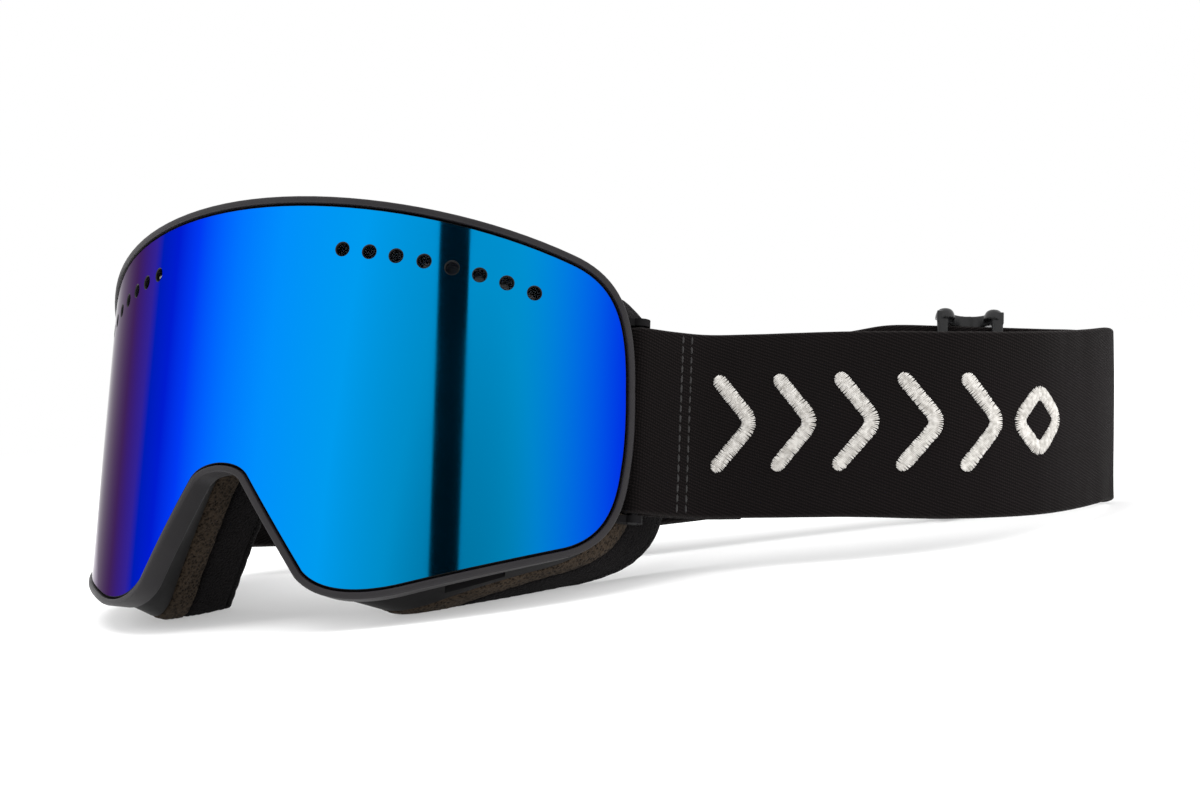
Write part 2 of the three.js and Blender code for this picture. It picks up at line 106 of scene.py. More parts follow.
def addCamera():
    azimuth, elevation, roll = (math.radians(view[k]) for k in ("azimuth", "elevation", "roll"))
    back = Vector((math.sin(azimuth) * math.cos(elevation), -math.cos(azimuth) * math.cos(elevation),
                   math.sin(elevation)))
    level = Vector((math.cos(azimuth), math.sin(azimuth), 0))
    up = back.cross(level)
    right = level * math.cos(roll) + up * math.sin(roll)
    top = back.cross(right)
    turn = leanTurn.to_3x3() @ Matrix((right, top, back)).transposed()
    data = bpy.data.cameras.new("camera")
    data.lens = view["lens"]
    data.sensor_width = 36
    data.clip_start = 0.01
    camera = bpy.data.objects.new("camera", data)
    camera.matrix_world = Matrix.Translation(at(*view["position"])) @ turn.to_4x4()
    bpy.context.scene.collection.objects.link(camera)
    bpy.context.scene.camera = camera


studio = {
    "worldColour": (1.0, 1.0, 1.0), "worldStrength": 1.0,
    "floorColour": (0.6, 0.6, 0.6), "floorGlow": (0.34, 0.34, 0.34), "floorSize": 12.0,
    "floorFade": (0.35, 1.1),
    # name: (place in the goggles' axes in mm, size in m, power in W)
    "lights": {
        "topSoft": ((-150, -250, 900), 0.9, 9),
        "frontLeftSoft": ((-800, -600, 350), 0.7, 6),
        "rightRimSoft": ((900, 300, 300), 0.6, 7),
    },
    "cardPlace": (360, -498, 120), "cardSize": (0.1, 0.36), "cardFaces": (60, 20, 0),
    "lightsFace": (0, 0, 0.05),
}


def addFlat(name, width, height, place, normal, material):
    turn = normal.to_track_quat("Z", "Y").to_matrix().to_4x4()
    corners = [(-width / 2, -height / 2), (width / 2, -height / 2), (width / 2, height / 2),
               (-width / 2, height / 2)]
    mesh = bpy.data.meshes.new(name)
    mesh.from_pydata([Matrix.Translation(place) @ turn @ Vector((a, b, 0)) for a, b in corners], [],
                     [(0, 1, 2, 3)])
    mesh.materials.append(material)
    flat = bpy.data.objects.new(name, mesh)
    bpy.context.scene.collection.objects.link(flat)
    return flat


def floorPaper():
    # Pale paper that brightens to the plain backdrop well away from the goggles, so no horizon shows. Near
    # the goggles it also glows a little, painted light that lifts and softens their cast shadow.
    material, tree, shader = newMaterial("floorPaper")
    shader.inputs["Roughness"].default_value = 0.9
    shader.inputs["Emission Strength"].default_value = 1.0
    away = node(tree, "ShaderNodeVectorMath", {0: objectCoordinates(tree)}, operation="LENGTH")
    near, far = studio["floorFade"]
    fade = node(tree, "ShaderNodeMapRange",
                {"Value": away.outputs["Value"], "From Min": near, "From Max": far},
                interpolation_type="SMOOTHSTEP").outputs["Result"]
    tree.links.new(mixColour(tree, fade, studio["floorColour"], (0, 0, 0)), shader.inputs["Base Color"])
    # The floor's glow near the goggles is painted light in their shadow.
    tree.links.new(mixColour(tree, fade, studio["floorGlow"], studio["worldColour"]),
                   shader.inputs["Emission Color"])
    shader.inputs["Specular IOR Level"].default_value = 0.0
    return material


def addStudio():
    world = bpy.data.worlds.new("paleStudio")
    world.use_nodes = True
    background = world.node_tree.nodes["Background"]
    background.inputs["Color"].default_value = (*studio["worldColour"], 1)
    background.inputs["Strength"].default_value = studio["worldStrength"]
    bpy.context.scene.world = world
    for name, (place, size, power) in studio["lights"].items():
        data = bpy.data.lights.new(name, "AREA")
        data.shape = "DISK"
        data.size = size
        data.energy = power
        lamp = bpy.data.objects.new(name, data)
        spot = at(*place)
        aim = (Vector(studio["lightsFace"]) - spot).normalized()
        lamp.matrix_world = Matrix.Translation(spot) @ aim.to_track_quat("-Z", "Y").to_matrix().to_4x4()
        lamp.visible_glossy = False
        bpy.context.scene.collection.objects.link(lamp)
    floor = addFlat("floor", studio["floorSize"], studio["floorSize"], Vector((0, 0, 0)), Vector((0, 0, 1)),
                    floorPaper())
    # A dark card beside the camera gives the mirror lens its one dark upright streak.
    cardSpot = at(*studio["cardPlace"])
    facing = (at(*studio["cardFaces"]) - cardSpot).normalized()
    card = addFlat("darkCard", *studio["cardSize"], cardSpot, facing,
                   plainMaterial("blackCard", (0.002, 0.002, 0.002), 1.0))
    for ray in ("camera", "diffuse", "shadow", "transmission", "volume_scatter"):
        setattr(card, "visible_" + ray, False)


# Materials

def newMaterial(name):
    material = bpy.data.materials.new(name)
    material.use_nodes = True
    return material, material.node_tree, material.node_tree.nodes["Principled BSDF"]


def plainMaterial(name, colour, roughness):
    material, _, shader = newMaterial(name)
    shader.inputs["Base Color"].default_value = (*colour, 1)
    shader.inputs["Roughness"].default_value = roughness
    return material


def feed(tree, socket, value):
    # A socket takes a link, or a value of its own.
    if isinstance(value, bpy.types.NodeSocket):
        tree.links.new(value, socket)
    else:
        socket.default_value = value


def node(tree, kind, inputs=(), **settings):
    made = tree.nodes.new(kind)
    for key, value in settings.items():
        setattr(made, key, value)
    for key, value in dict(inputs).items():
        feed(tree, made.inputs[key], value)
    return made


def sums(tree, operation, a, b=0.0, kept=False):
    # kept holds the result between 0 and 1.
    return node(tree, "ShaderNodeMath", {0: a, 1: b}, operation=operation, use_clamp=kept).outputs[0]


def ramp(tree, factor, stops):
    made = node(tree, "ShaderNodeValToRGB", {"Fac": factor})
    band = made.color_ramp.elements
    while len(band) < len(stops):
        band.new(0.5)
    for element, (position, colour) in zip(band, stops):
        element.position = position
        element.color = (*colour, 1)
    return made.outputs["Color"]


def srgb(red, green, blue):
    # Screen colour, 0 to 255, as linear light.
    def linear(value):
        share = value / 255
        return share / 12.92 if share <= 0.04045 else ((share + 0.055) / 1.055) ** 2.4
    return tuple(linear(v) for v in (red, green, blue))


def newGroup(name, inputs, outputs):
    group = bpy.data.node_groups.new(name, "ShaderNodeTree")
    for label, kind, value in inputs:
        socket = group.interface.new_socket(label, in_out="INPUT", socket_type="NodeSocket" + kind)
        if value is not None:
            socket.default_value = value
    for label, kind in outputs:
        group.interface.new_socket(label, in_out="OUTPUT", socket_type="NodeSocket" + kind)
    return group, group.nodes.new("NodeGroupInput").outputs, group.nodes.new("NodeGroupOutput").inputs


def placeGroup(tree, group, inputs):
    return node(tree, "ShaderNodeGroup", inputs, node_tree=group).outputs


def makeGrainGroup():
    # Moulded-plastic grain: a fine stipple, and a wide patchiness for colour and gloss.
    group, given, put = newGroup("mouldedGrain", [
        ("Vector", "Vector", None), ("Grain size", "Float", 0.0004), ("Patch size", "Float", 0.02)],
        [("Height", "Float"), ("Patch", "Float")])
    fine = node(group, "ShaderNodeTexNoise", {"Vector": given["Vector"],
                "Scale": sums(group, "DIVIDE", 1.0, given["Grain size"]), "Detail": 3.0, "Roughness": 0.6})
    wide = node(group, "ShaderNodeTexNoise", {"Vector": given["Vector"],
                "Scale": sums(group, "DIVIDE", 1.0, given["Patch size"]), "Detail": 4.0, "Roughness": 0.55})
    group.links.new(fine.outputs["Fac"], put["Height"])
    group.links.new(wide.outputs["Fac"], put["Patch"])
    return group


def makePoreGroup():
    # Cut foam: round cells whose floors are painted dark, painted shade in the pits, with thin bright walls.
    group, given, put = newGroup("foamPores", [
        ("Vector", "Vector", None), ("Cell size", "Float", 0.0007), ("Patch size", "Float", 0.012)],
        [("Height", "Float"), ("Depth", "Float"), ("Patch", "Float")])
    scale = sums(group, "DIVIDE", 1.0, given["Cell size"])
    bent = node(group, "ShaderNodeTexNoise", {"Vector": given["Vector"], "Scale": scale, "Detail": 2.0})
    warped = node(group, "ShaderNodeVectorMath", {0: bent.outputs["Color"], "Scale": 0.0004},
                  operation="SCALE")
    moved = node(group, "ShaderNodeVectorMath", {0: given["Vector"], 1: warped.outputs[0]}, operation="ADD")
    cells = node(group, "ShaderNodeTexVoronoi", {"Vector": moved.outputs[0], "Scale": scale,
                                                 "Randomness": 0.95})
    small = node(group, "ShaderNodeTexVoronoi", {"Vector": moved.outputs[0],
                 "Scale": sums(group, "MULTIPLY", scale, 2.3), "Randomness": 1.0})
    both = sums(group, "ADD", cells.outputs["Distance"],
                sums(group, "MULTIPLY", small.outputs["Distance"], 0.45))
    depth = node(group, "ShaderNodeMapRange", {"Value": both, "From Min": 0.25, "From Max": 0.95})
    wide = node(group, "ShaderNodeTexNoise", {"Vector": given["Vector"],
                "Scale": sums(group, "DIVIDE", 1.0, given["Patch size"]), "Detail": 5.0})
    group.links.new(depth.outputs["Result"], put["Depth"])
    group.links.new(both, put["Height"])
    group.links.new(wide.outputs["Fac"], put["Patch"])
    return group


def makeWeaveGroup():
    # Elastic webbing on its own UV map in metres: fine slanted ribs crossed by the weft.
    group, given, put = newGroup("webbingWeave", [
        ("UV", "Vector", None), ("Rib pitch", "Float", 0.0011), ("Weft pitch", "Float", 0.0007),
        ("Slant", "Float", 0.45)],
        [("Height", "Float"), ("Lint", "Float"), ("Patch", "Float")])

    def times(a, b):
        return sums(group, "MULTIPLY", a, b)

    def plus(a, b):
        return sums(group, "ADD", a, b)

    def ribs(place, pitch):
        return sums(group, "SINE", times(sums(group, "DIVIDE", place, pitch), 2 * math.pi))

    split = node(group, "ShaderNodeSeparateXYZ", {"Vector": given["UV"]})
    waver = node(group, "ShaderNodeTexNoise", {"Vector": given["UV"], "Scale": 260.0, "Detail": 2.0})
    length = plus(split.outputs["X"], times(waver.outputs["Fac"], 0.0007))
    slanted = plus(times(length, given["Slant"]), split.outputs["Y"])
    rib = ribs(slanted, given["Rib pitch"])
    weft = ribs(length, given["Weft pitch"])
    cross = times(weft, plus(times(rib, 0.35), 0.5))
    total = plus(times(rib, 0.55), times(cross, 0.45))
    lint = node(group, "ShaderNodeTexNoise",
                {"Vector": given["UV"], "Scale": 2600.0, "Detail": 4.0, "Roughness": 0.7})
    wide = node(group, "ShaderNodeTexNoise", {"Vector": given["UV"], "Scale": 55.0, "Detail": 5.0})
    group.links.new(plus(times(total, 0.5), times(lint.outputs["Fac"], 0.35)), put["Height"])
    group.links.new(lint.outputs["Fac"], put["Lint"])
    group.links.new(wide.outputs["Fac"], put["Patch"])
    return group


grain = makeGrainGroup()
pores = makePoreGroup()
weave = makeWeaveGroup()


def objectCoordinates(tree):
    return node(tree, "ShaderNodeTexCoord").outputs["Object"]


def bump(tree, shader, height, strength, distance):
    made = node(tree, "ShaderNodeBump", {"Height": height, "Strength": strength, "Distance": distance})
    tree.links.new(made.outputs["Normal"], shader.inputs["Normal"])


def mixColour(tree, factor, a, b, blend="MIX"):
    made = node(tree, "ShaderNodeMix", {"Factor": factor}, data_type="RGBA", blend_type=blend)
    colourSockets = [socket for socket in made.inputs if socket.type == "RGBA"]
    for socket, value in zip(colourSockets, (a, b)):
        feed(tree, socket, (*value, 1) if isinstance(value, tuple) else value)
    return [socket for socket in made.outputs if socket.type == "RGBA"][0]


plastics = {
    # name: (colour, lighter worn colour, roughness low, roughness high, grain size, bump, specular level)
    "bezelPlastic": (srgb(28, 26, 28), srgb(38, 36, 38), 0.38, 0.55, 0.00035, 0.25, 0.28),
    "frameRubber": (srgb(12, 11, 12), srgb(18, 17, 18), 0.42, 0.62, 0.0005, 0.2, 0.1),
    "carrierPlastic": (srgb(14, 14, 15), srgb(20, 20, 22), 0.45, 0.6, 0.0004, 0.15, 0.3),
    "slidePlastic": (srgb(17, 17, 18), srgb(26, 26, 27), 0.25, 0.42, 0.0006, 0.12, 0.45),
    "gripSilicone": (srgb(30, 30, 33), srgb(40, 40, 44), 0.3, 0.5, 0.0008, 0.1, 0.4),
    "gasketFoam": (srgb(22, 22, 24), srgb(32, 31, 33), 0.8, 0.95, 0.0006, 0.5, 0.1),
}


def plasticMaterial(name):
    colour, worn, smooth, rough, size, depth, shine = plastics[name]
    material, tree, shader = newMaterial(name)
    marks = placeGroup(tree, grain, {"Vector": objectCoordinates(tree), "Grain size": size,
                                     "Patch size": 0.018})
    colours = ramp(tree, marks["Patch"], [(0.35, colour), (0.75, worn)])
    tree.links.new(colours, shader.inputs["Base Color"])
    gloss = node(tree, "ShaderNodeMapRange", {"Value": marks["Patch"], "From Min": 0.3, "From Max": 0.7,
                                              "To Min": smooth, "To Max": rough})
    tree.links.new(gloss.outputs["Result"], shader.inputs["Roughness"])
    shader.inputs["Specular IOR Level"].default_value = shine
    bump(tree, shader, marks["Height"], depth, 0.0002)
    return material


foams = {
    # name: (wall colour, pit colour painted as shade in the cells, cell size, bump, sheen)
    "brownFoam": (srgb(62, 53, 44), srgb(17, 13, 10), 0.0009, 0.9, 0.02),
    "blackFoam": (srgb(20, 18, 19), srgb(4, 3, 4), 0.0006, 0.8, 0.02),
    "blackFleece": (srgb(23, 21, 22), srgb(5, 4, 5), 0.0005, 1.0, 0.06),
}


def foamMaterial(name):
    wall, pitShade, cell, depth, sheen = foams[name]
    material, tree, shader = newMaterial(name)
    marks = placeGroup(tree, pores, {"Vector": objectCoordinates(tree), "Cell size": cell,
                                     "Patch size": 0.01})
    # The cells' floors take the pit colour: painted shade in the pits.
    colours = ramp(tree, marks["Depth"], [(0.1, pitShade), (0.8, wall)])
    faded = ramp(tree, marks["Patch"], [(0.3, (0.75, 0.75, 0.75)), (0.75, (1.2, 1.17, 1.14))])
    tree.links.new(mixColour(tree, 1.0, colours, faded, "MULTIPLY"), shader.inputs["Base Color"])
    shader.inputs["Roughness"].default_value = 0.95
    shader.inputs["Specular IOR Level"].default_value = 0.06
    shader.inputs["Sheen Weight"].default_value = sheen
    shader.inputs["Sheen Roughness"].default_value = 0.6
    bump(tree, shader, marks["Height"], depth, 0.0005)
    return material


lensLook = {
    # How the coat's colour turns with the angle it is seen at (facing value, 0 to 255 colour).
    "facing": [(0.0, (0, 108, 150)), (0.03, (0, 140, 200)), (0.09, (0, 155, 238)), (0.2, (0, 143, 252)),
               (0.29, (0, 118, 255)), (0.34, (0, 98, 255)), (0.41, (0, 60, 246)), (0.485, (0, 40, 215)),
               (0.545, (8, 48, 200)), (0.59, (66, 58, 165)), (0.7, (84, 66, 110)), (0.8, (100, 84, 112))],
    # The deep blue on the lens's right end is a painted reflection colour, set by place across the lens, not
    # by angle.
    "paintedSideBlue": (0, 30, 228), "sideFrom": 0.067, "sideTo": 0.089,
    "roughness": 0.04, "edgeTint": (0.4, 0.36, 0.42),
}


def lensMaterial():
    material, tree, shader = newMaterial("mirrorCoat")
    facing = node(tree, "ShaderNodeLayerWeight", {"Blend": 0.5}).outputs["Facing"]
    coat = ramp(tree, facing, [(p, srgb(*c)) for p, c in lensLook["facing"]])
    # Towards the lens's right end the coat is painted deep blue by place: a painted reflection colour fixed
    # to that side.
    split = node(tree, "ShaderNodeSeparateXYZ", {"Vector": objectCoordinates(tree)})
    across = sums(tree, "SUBTRACT", split.outputs["X"], middleX)
    side = node(tree, "ShaderNodeMapRange", {"Value": across, "From Min": lensLook["sideFrom"],
                                             "From Max": lensLook["sideTo"]},
                interpolation_type="SMOOTHSTEP")
    colour = mixColour(tree, side.outputs["Result"], coat, srgb(*lensLook["paintedSideBlue"]))
    tree.links.new(colour, shader.inputs["Base Color"])
    smudge = node(tree, "ShaderNodeTexNoise", {"Vector": objectCoordinates(tree), "Scale": 22.0,
                                               "Detail": 4.0})
    gloss = node(tree, "ShaderNodeMapRange",
                 {"Value": smudge.outputs["Fac"], "From Min": 0.35, "From Max": 0.75,
                  "To Min": lensLook["roughness"], "To Max": lensLook["roughness"] + 0.05})
    tree.links.new(gloss.outputs["Result"], shader.inputs["Roughness"])
    shader.inputs["Metallic"].default_value = 1.0
    shader.inputs["Specular Tint"].default_value = (*lensLook["edgeTint"], 1)
    return material


def clearMaterial():
    material, tree, shader = newMaterial("clearPane")
    marks = placeGroup(tree, grain, {"Vector": objectCoordinates(tree), "Grain size": 0.004,
                                     "Patch size": 0.03})
    tree.links.new(ramp(tree, marks["Patch"], [(0.3, srgb(70, 76, 82)), (0.7, srgb(86, 92, 98))]),
                   shader.inputs["Base Color"])
    shader.inputs["Roughness"].default_value = 0.08
    shader.inputs["Alpha"].default_value = 0.45
    return material


webbingLook = {"dark": srgb(9, 7, 7), "light": srgb(26, 21, 21), "lint": srgb(56, 51, 49),
               "selvedge": srgb(46, 43, 42), "bump": 0.75}


def webbingMaterial():
    material, tree, shader = newMaterial("ribbedWebbing")
    uv = node(tree, "ShaderNodeUVMap", uv_map="cloth").outputs["UV"]
    marks = placeGroup(tree, weave, {"UV": uv, "Rib pitch": 0.0008, "Weft pitch": 0.0006, "Slant": 0.35})
    # The weave's grooves are painted dark and its ribs lighter, following the bump height: painted shade in
    # the grooves.
    body = ramp(tree, marks["Height"], [(0.0, webbingLook["dark"]), (0.75, webbingLook["light"])])
    linty = node(tree, "ShaderNodeMapRange", {"Value": marks["Lint"], "From Min": 0.6, "From Max": 0.8,
                                              "To Max": 0.35})
    dusty = mixColour(tree, linty.outputs["Result"], body, webbingLook["lint"])
    split = node(tree, "ShaderNodeSeparateXYZ", {"Vector": uv})
    edge = sums(tree, "ABSOLUTE", sums(tree, "SUBTRACT", split.outputs["Y"], 0.023))
    selvedge = node(tree, "ShaderNodeMapRange", {"Value": edge, "From Min": 0.0222, "From Max": 0.0234,
                                                 "To Max": 0.5})
    tree.links.new(mixColour(tree, selvedge.outputs["Result"], dusty, webbingLook["selvedge"]),
                   shader.inputs["Base Color"])
    shader.inputs["Roughness"].default_value = 0.9
    shader.inputs["Specular IOR Level"].default_value = 0.08
    shader.inputs["Sheen Weight"].default_value = 0.02
    shader.inputs["Sheen Roughness"].default_value = 0.5
    bump(tree, shader, marks["Height"], webbingLook["bump"], 0.0003)
    return material


def threadMaterial(name, colour, shade):
    material, tree, shader = newMaterial(name)
    spots = node(tree, "ShaderNodeTexNoise", {"Vector": objectCoordinates(tree), "Scale": 900.0,
                                              "Detail": 3.0})
    tree.links.new(ramp(tree, spots.outputs["Fac"], [(0.3, shade), (0.65, colour)]),
                   shader.inputs["Base Color"])
    shader.inputs["Roughness"].default_value = 0.65
    shader.inputs["Sheen Weight"].default_value = 0.2
    bump(tree, shader, spots.outputs["Fac"], 0.4, 0.0002)
    return material


def metalMaterial(name, colour, roughness):
    material, tree, shader = newMaterial(name)
    marks = placeGroup(tree, grain, {"Vector": objectCoordinates(tree), "Grain size": 0.0003,
                                     "Patch size": 0.004})
    gloss = node(tree, "ShaderNodeMapRange", {"Value": marks["Patch"], "To Min": roughness - 0.1,
                                              "To Max": roughness + 0.1})
    tree.links.new(gloss.outputs["Result"], shader.inputs["Roughness"])
    tree.links.new(ramp(tree, marks["Patch"], [(0.3, tuple(c * 0.8 for c in colour)), (0.7, colour)]),
                   shader.inputs["Base Color"])
    shader.inputs["Metallic"].default_value = 1.0
    bump(tree, shader, marks["Height"], 0.1, 0.0001)
    return material


addCamera()
addStudio()
bezelPlastic, frameRubber, carrierPlastic, slidePlastic, gripSilicone, gasketFoam = (
    plasticMaterial(n) for n in plastics)
brownFoam, blackFoam, blackFleece = (foamMaterial(n) for n in foams)
mirrorCoat, clearPane, webbing = lensMaterial(), clearMaterial(), webbingMaterial()
whiteThread = threadMaterial("whiteThread", srgb(205, 202, 197), srgb(158, 154, 148))
darkThread = threadMaterial("darkThread", srgb(30, 27, 27), srgb(14, 12, 12))
pinSteel = metalMaterial("pinSteel", srgb(52, 51, 53), 0.45)
nickel = metalMaterial("nickel", srgb(196, 194, 188), 0.25)
bpy.context.scene.view_settings.view_transform = "Standard"
print("studio and materials ready")

# Outlines, in millimetres

outlineSteps = 20  # points along each stretch
lensStretches = ((0, 47.6), [
    [(30, 47.6), (62, 42.6), (86.7, 34.4)],
    [(99, 30.5), (102.3, 22), (102.8, 5)],
    [(103.2, -2), (103.2, -9), (102.4, -14.6)],
    [(101.5, -24), (98.5, -31.5), (89, -34.7)],
    [(50.7, -45.4)],
    [(42.7, -47.6), (32, -48.5), (26.4, -43)],
    [(9.3, -19.8)],
    [(7.5, -17.4), (4, -16.4), (0, -16.3)],
])
faceStretches = ((0, 47.5), [
    [(30, 47.5), (54, 43.5), (68, 35)],
    [(75, 31), (79, 22), (79, 6)],
    [(79, 0), (79, -8), (79, -14)],
    [(79, -26), (77, -34), (68, -38.5)],
    [(50, -47)],
    [(43, -50.5), (34, -54), (29.5, -43)],
    [(17, -20)],
    [(12.5, -12), (7, -11), (0, -11)],
])
openingStretches = ((0, 35), [
    [(26, 35), (44, 32), (54, 26)],
    [(61, 22), (65, 14), (65, 5)],
    [(65, 0), (65, -6), (65, -10)],
    [(65, -19), (62, -24), (56, -27)],
    [(47, -31.5)],
    [(43, -33.5), (40, -33), (37.5, -28.5)],
    [(27, -11)],
    [(21, -1), (12, 1), (0, 1)],
])


def halfOutline(start, stretches):
    points = [Vector(start)]
    for stretch in stretches:
        a, d = points[-1], Vector(stretch[-1])
        b, c = (a.lerp(d, 1 / 3), a.lerp(d, 2 / 3)) if len(stretch) == 1 else map(Vector, stretch[:2])
        points += cubic(a, b, c, d, outlineSteps)
    return points


def wholeOutline(stretches):
    # Each entry is a point and its outward direction, smoothed a little over the joins.
    half = halfOutline(*stretches)
    points = half + [Vector((-p.x, p.y)) for p in reversed(half[1:-1])]
    outward = []
    for i in range(len(points)):
        run = (points[(i + 1) % len(points)] - points[i - 1]).normalized()
        outward.append(Vector((-run.y, run.x)))
    for _ in range(3):
        outward = [(outward[i - 1] + outward[i] * 2 + outward[(i + 1) % len(outward)]).normalized()
                   for i in range(len(outward))]
    return list(zip(points, outward))


lensOutline = wholeOutline(lensStretches)
faceOutline = wholeOutline(faceStretches)
openingOutline = wholeOutline(openingStretches)
face = {"centreDepth": 15.0, "radius": 95.0}


def onLens(flat, depth):
    angle = flat.x / stand["lensRadius"]
    radius = stand["lensRadius"] + depth
    return Vector((radius * math.sin(angle), stand["lensRadius"] - radius * math.cos(angle), flat.y))


def faceDepth(x):
    return face["centreDepth"] + face["radius"] - math.sqrt(face["radius"] ** 2 - x * x)


def onFace(flat, back):
    return Vector((flat.x, faceDepth(flat.x) + back, flat.y))


# Mesh helpers

def toObject(name, points, faces, material, uvs=None, normals=None):
    # points are in the goggles' own millimetres
    mesh = bpy.data.meshes.new(name)
    mesh.from_pydata([toRow @ (p * mm) for p in points], [], faces)
    mesh.validate()
    mesh.materials.append(material)
    if uvs:
        layer = mesh.uv_layers.new(name="cloth")
        for loop in mesh.loops:
            layer.data[loop.index].uv = uvs[loop.vertex_index]
    mesh.shade_smooth()
    if normals:
        mesh.normals_split_custom_set(normals(mesh))
    made = bpy.data.objects.new(name, mesh)
    bpy.context.scene.collection.objects.link(made)
    return made


def volumeSign(points, faces):
    # Below zero when the faces point inwards.
    total = 0.0
    for corners in faces:
        a = points[corners[0]]
        for i in range(1, len(corners) - 1):
            total += a.dot(points[corners[i]].cross(points[corners[i + 1]]))
    return total


def loft(name, rings, material, closed=True, uvs=None):
    # Skins a row of rings: closed joins the last to the first, otherwise both ends are capped.
    count = len(rings[0])
    points = [p for ring in rings for p in ring]
    faces = []
    for i in range(len(rings) if closed else len(rings) - 1):
        here, there = i * count, ((i + 1) % len(rings)) * count
        for k in range(count):
            other = (k + 1) % count
            faces.append((here + k, there + k, there + other, here + other))
    if not closed:
        faces.append(tuple(range(count)))
        faces.append(tuple(reversed(range(len(points) - count, len(points)))))
    if volumeSign(points, faces) < 0:
        faces = [tuple(reversed(f)) for f in faces]
    return toObject(name, points, faces, material, uvs)


def sharpen(made, degrees):
    # Smooth shading that breaks at real edges.
    made.data.set_sharp_from_angle(angle=math.radians(degrees))
    return made


def roundedSection(corners, radius, steps=4):
    # A closed section of 2-D corners, each rounded by an arc where the sides have room for it.
    points = []
    count = len(corners)
    for i in range(count):
        before, corner, after = (Vector(corners[(i + k) % count]) for k in (-1, 0, 1))
        a, b = before - corner, after - corner
        cut = min(radius, a.length * 0.45, b.length * 0.45)
        points += rounding(corner + a.normalized() * cut, corner, corner + b.normalized() * cut, steps)
    return points


def settle(made, modifier):
    # The modifier's result becomes the object's own plain mesh.
    mesh = bpy.data.meshes.new_from_object(made.evaluated_get(bpy.context.evaluated_depsgraph_get()))
    made.modifiers.remove(modifier)
    made.data = mesh


def applyModifier(made, kind, **settings):
    modifier = made.modifiers.new(kind.lower(), kind)
    for key, value in settings.items():
        setattr(modifier, key, value)
    settle(made, modifier)


def spread(route, count):
    # count points at equal distances along a line, from its start and without its end
    lengths = [(b - a).length for a, b in zip(route, route[1:])]
    step = sum(lengths) / count
    points, i, gone = [], 0, 0.0
    for k in range(count):
        while gone + lengths[i] < k * step - 1e-9:
            gone += lengths[i]
            i += 1
        share = (k * step - gone) / lengths[i] if lengths[i] else 0
        points.append(route[i].lerp(route[i + 1], share))
    return points


# Lens cassette

lensBuild = {
    "thickness": 1.2, "edgeBevel": 0.22, "ventDiameter": 3.3, "ventSides": 40, "ventClear": 1.2,
    "gridAcross": 2.6, "gridUp": 9.0, "gridSpan": (206, 96), "gridShrink": (1.02, 1.03),
    "vents": [(31, 35.3), (37.9, 34.5), (44.6, 33.5), (51.5, 32.3), (58.3, 30.9), (65, 29.5), (71.6, 28),
              (78.4, 26.1)],
}


def inside(p, ring):
    crossings = False
    for i in range(len(ring)):
        a, b = ring[i - 1], ring[i]
        if (a.y > p.y) != (b.y > p.y) and p.x < (b.x - a.x) * (p.y - a.y) / (b.y - a.y) + a.x:
            crossings = not crossings
    return crossings


def gridPoints(outer, holes):
    # Inner points for the pane's big faces, clear of its outline and of the vents.
    spanX, spanY = lensBuild["gridSpan"]
    shrinkX, shrinkY = lensBuild["gridShrink"]
    columns, rows = int(spanX / lensBuild["gridAcross"]), int(spanY / lensBuild["gridUp"])
    points = []
    for i in range(columns + 1):
        for k in range(rows + 1):
            p = Vector((-spanX / 2 + spanX * i / columns, -spanY / 2 + spanY * k / rows))
            clearOfHoles = all((p - Vector(c)).length > r + lensBuild["ventClear"] for c, r in holes)
            if clearOfHoles and inside(p, outer) and inside(Vector((p.x * shrinkX, p.y * shrinkY)), outer):
                points.append(p)
    return points


def cylinderNormals(mesh, flatFaces):
    # The two big faces take the cylinder's own normals, so reflections stay clean.
    axis = toRow @ Vector((0, stand["lensRadius"] * mm, 0))
    upright = along(0, 0, 1)
    normals = [Vector((0, 0, 0))] * len(mesh.loops)
    edgeOf = {tuple(sorted(edge.vertices)): edge for edge in mesh.edges}
    for polygon in mesh.polygons:
        if polygon.index >= flatFaces:
            for key in polygon.edge_keys:
                edgeOf[tuple(sorted(key))].use_edge_sharp = True
    for polygon in mesh.polygons:
        for loopIndex in polygon.loop_indices:
            if polygon.index < flatFaces:
                radial = mesh.vertices[mesh.loops[loopIndex].vertex_index].co - axis
                radial -= upright * radial.dot(upright)
                radial.normalize()
                normals[loopIndex] = radial if polygon.normal.dot(radial) > 0 else -radial
            else:
                normals[loopIndex] = polygon.normal.copy()
    return normals


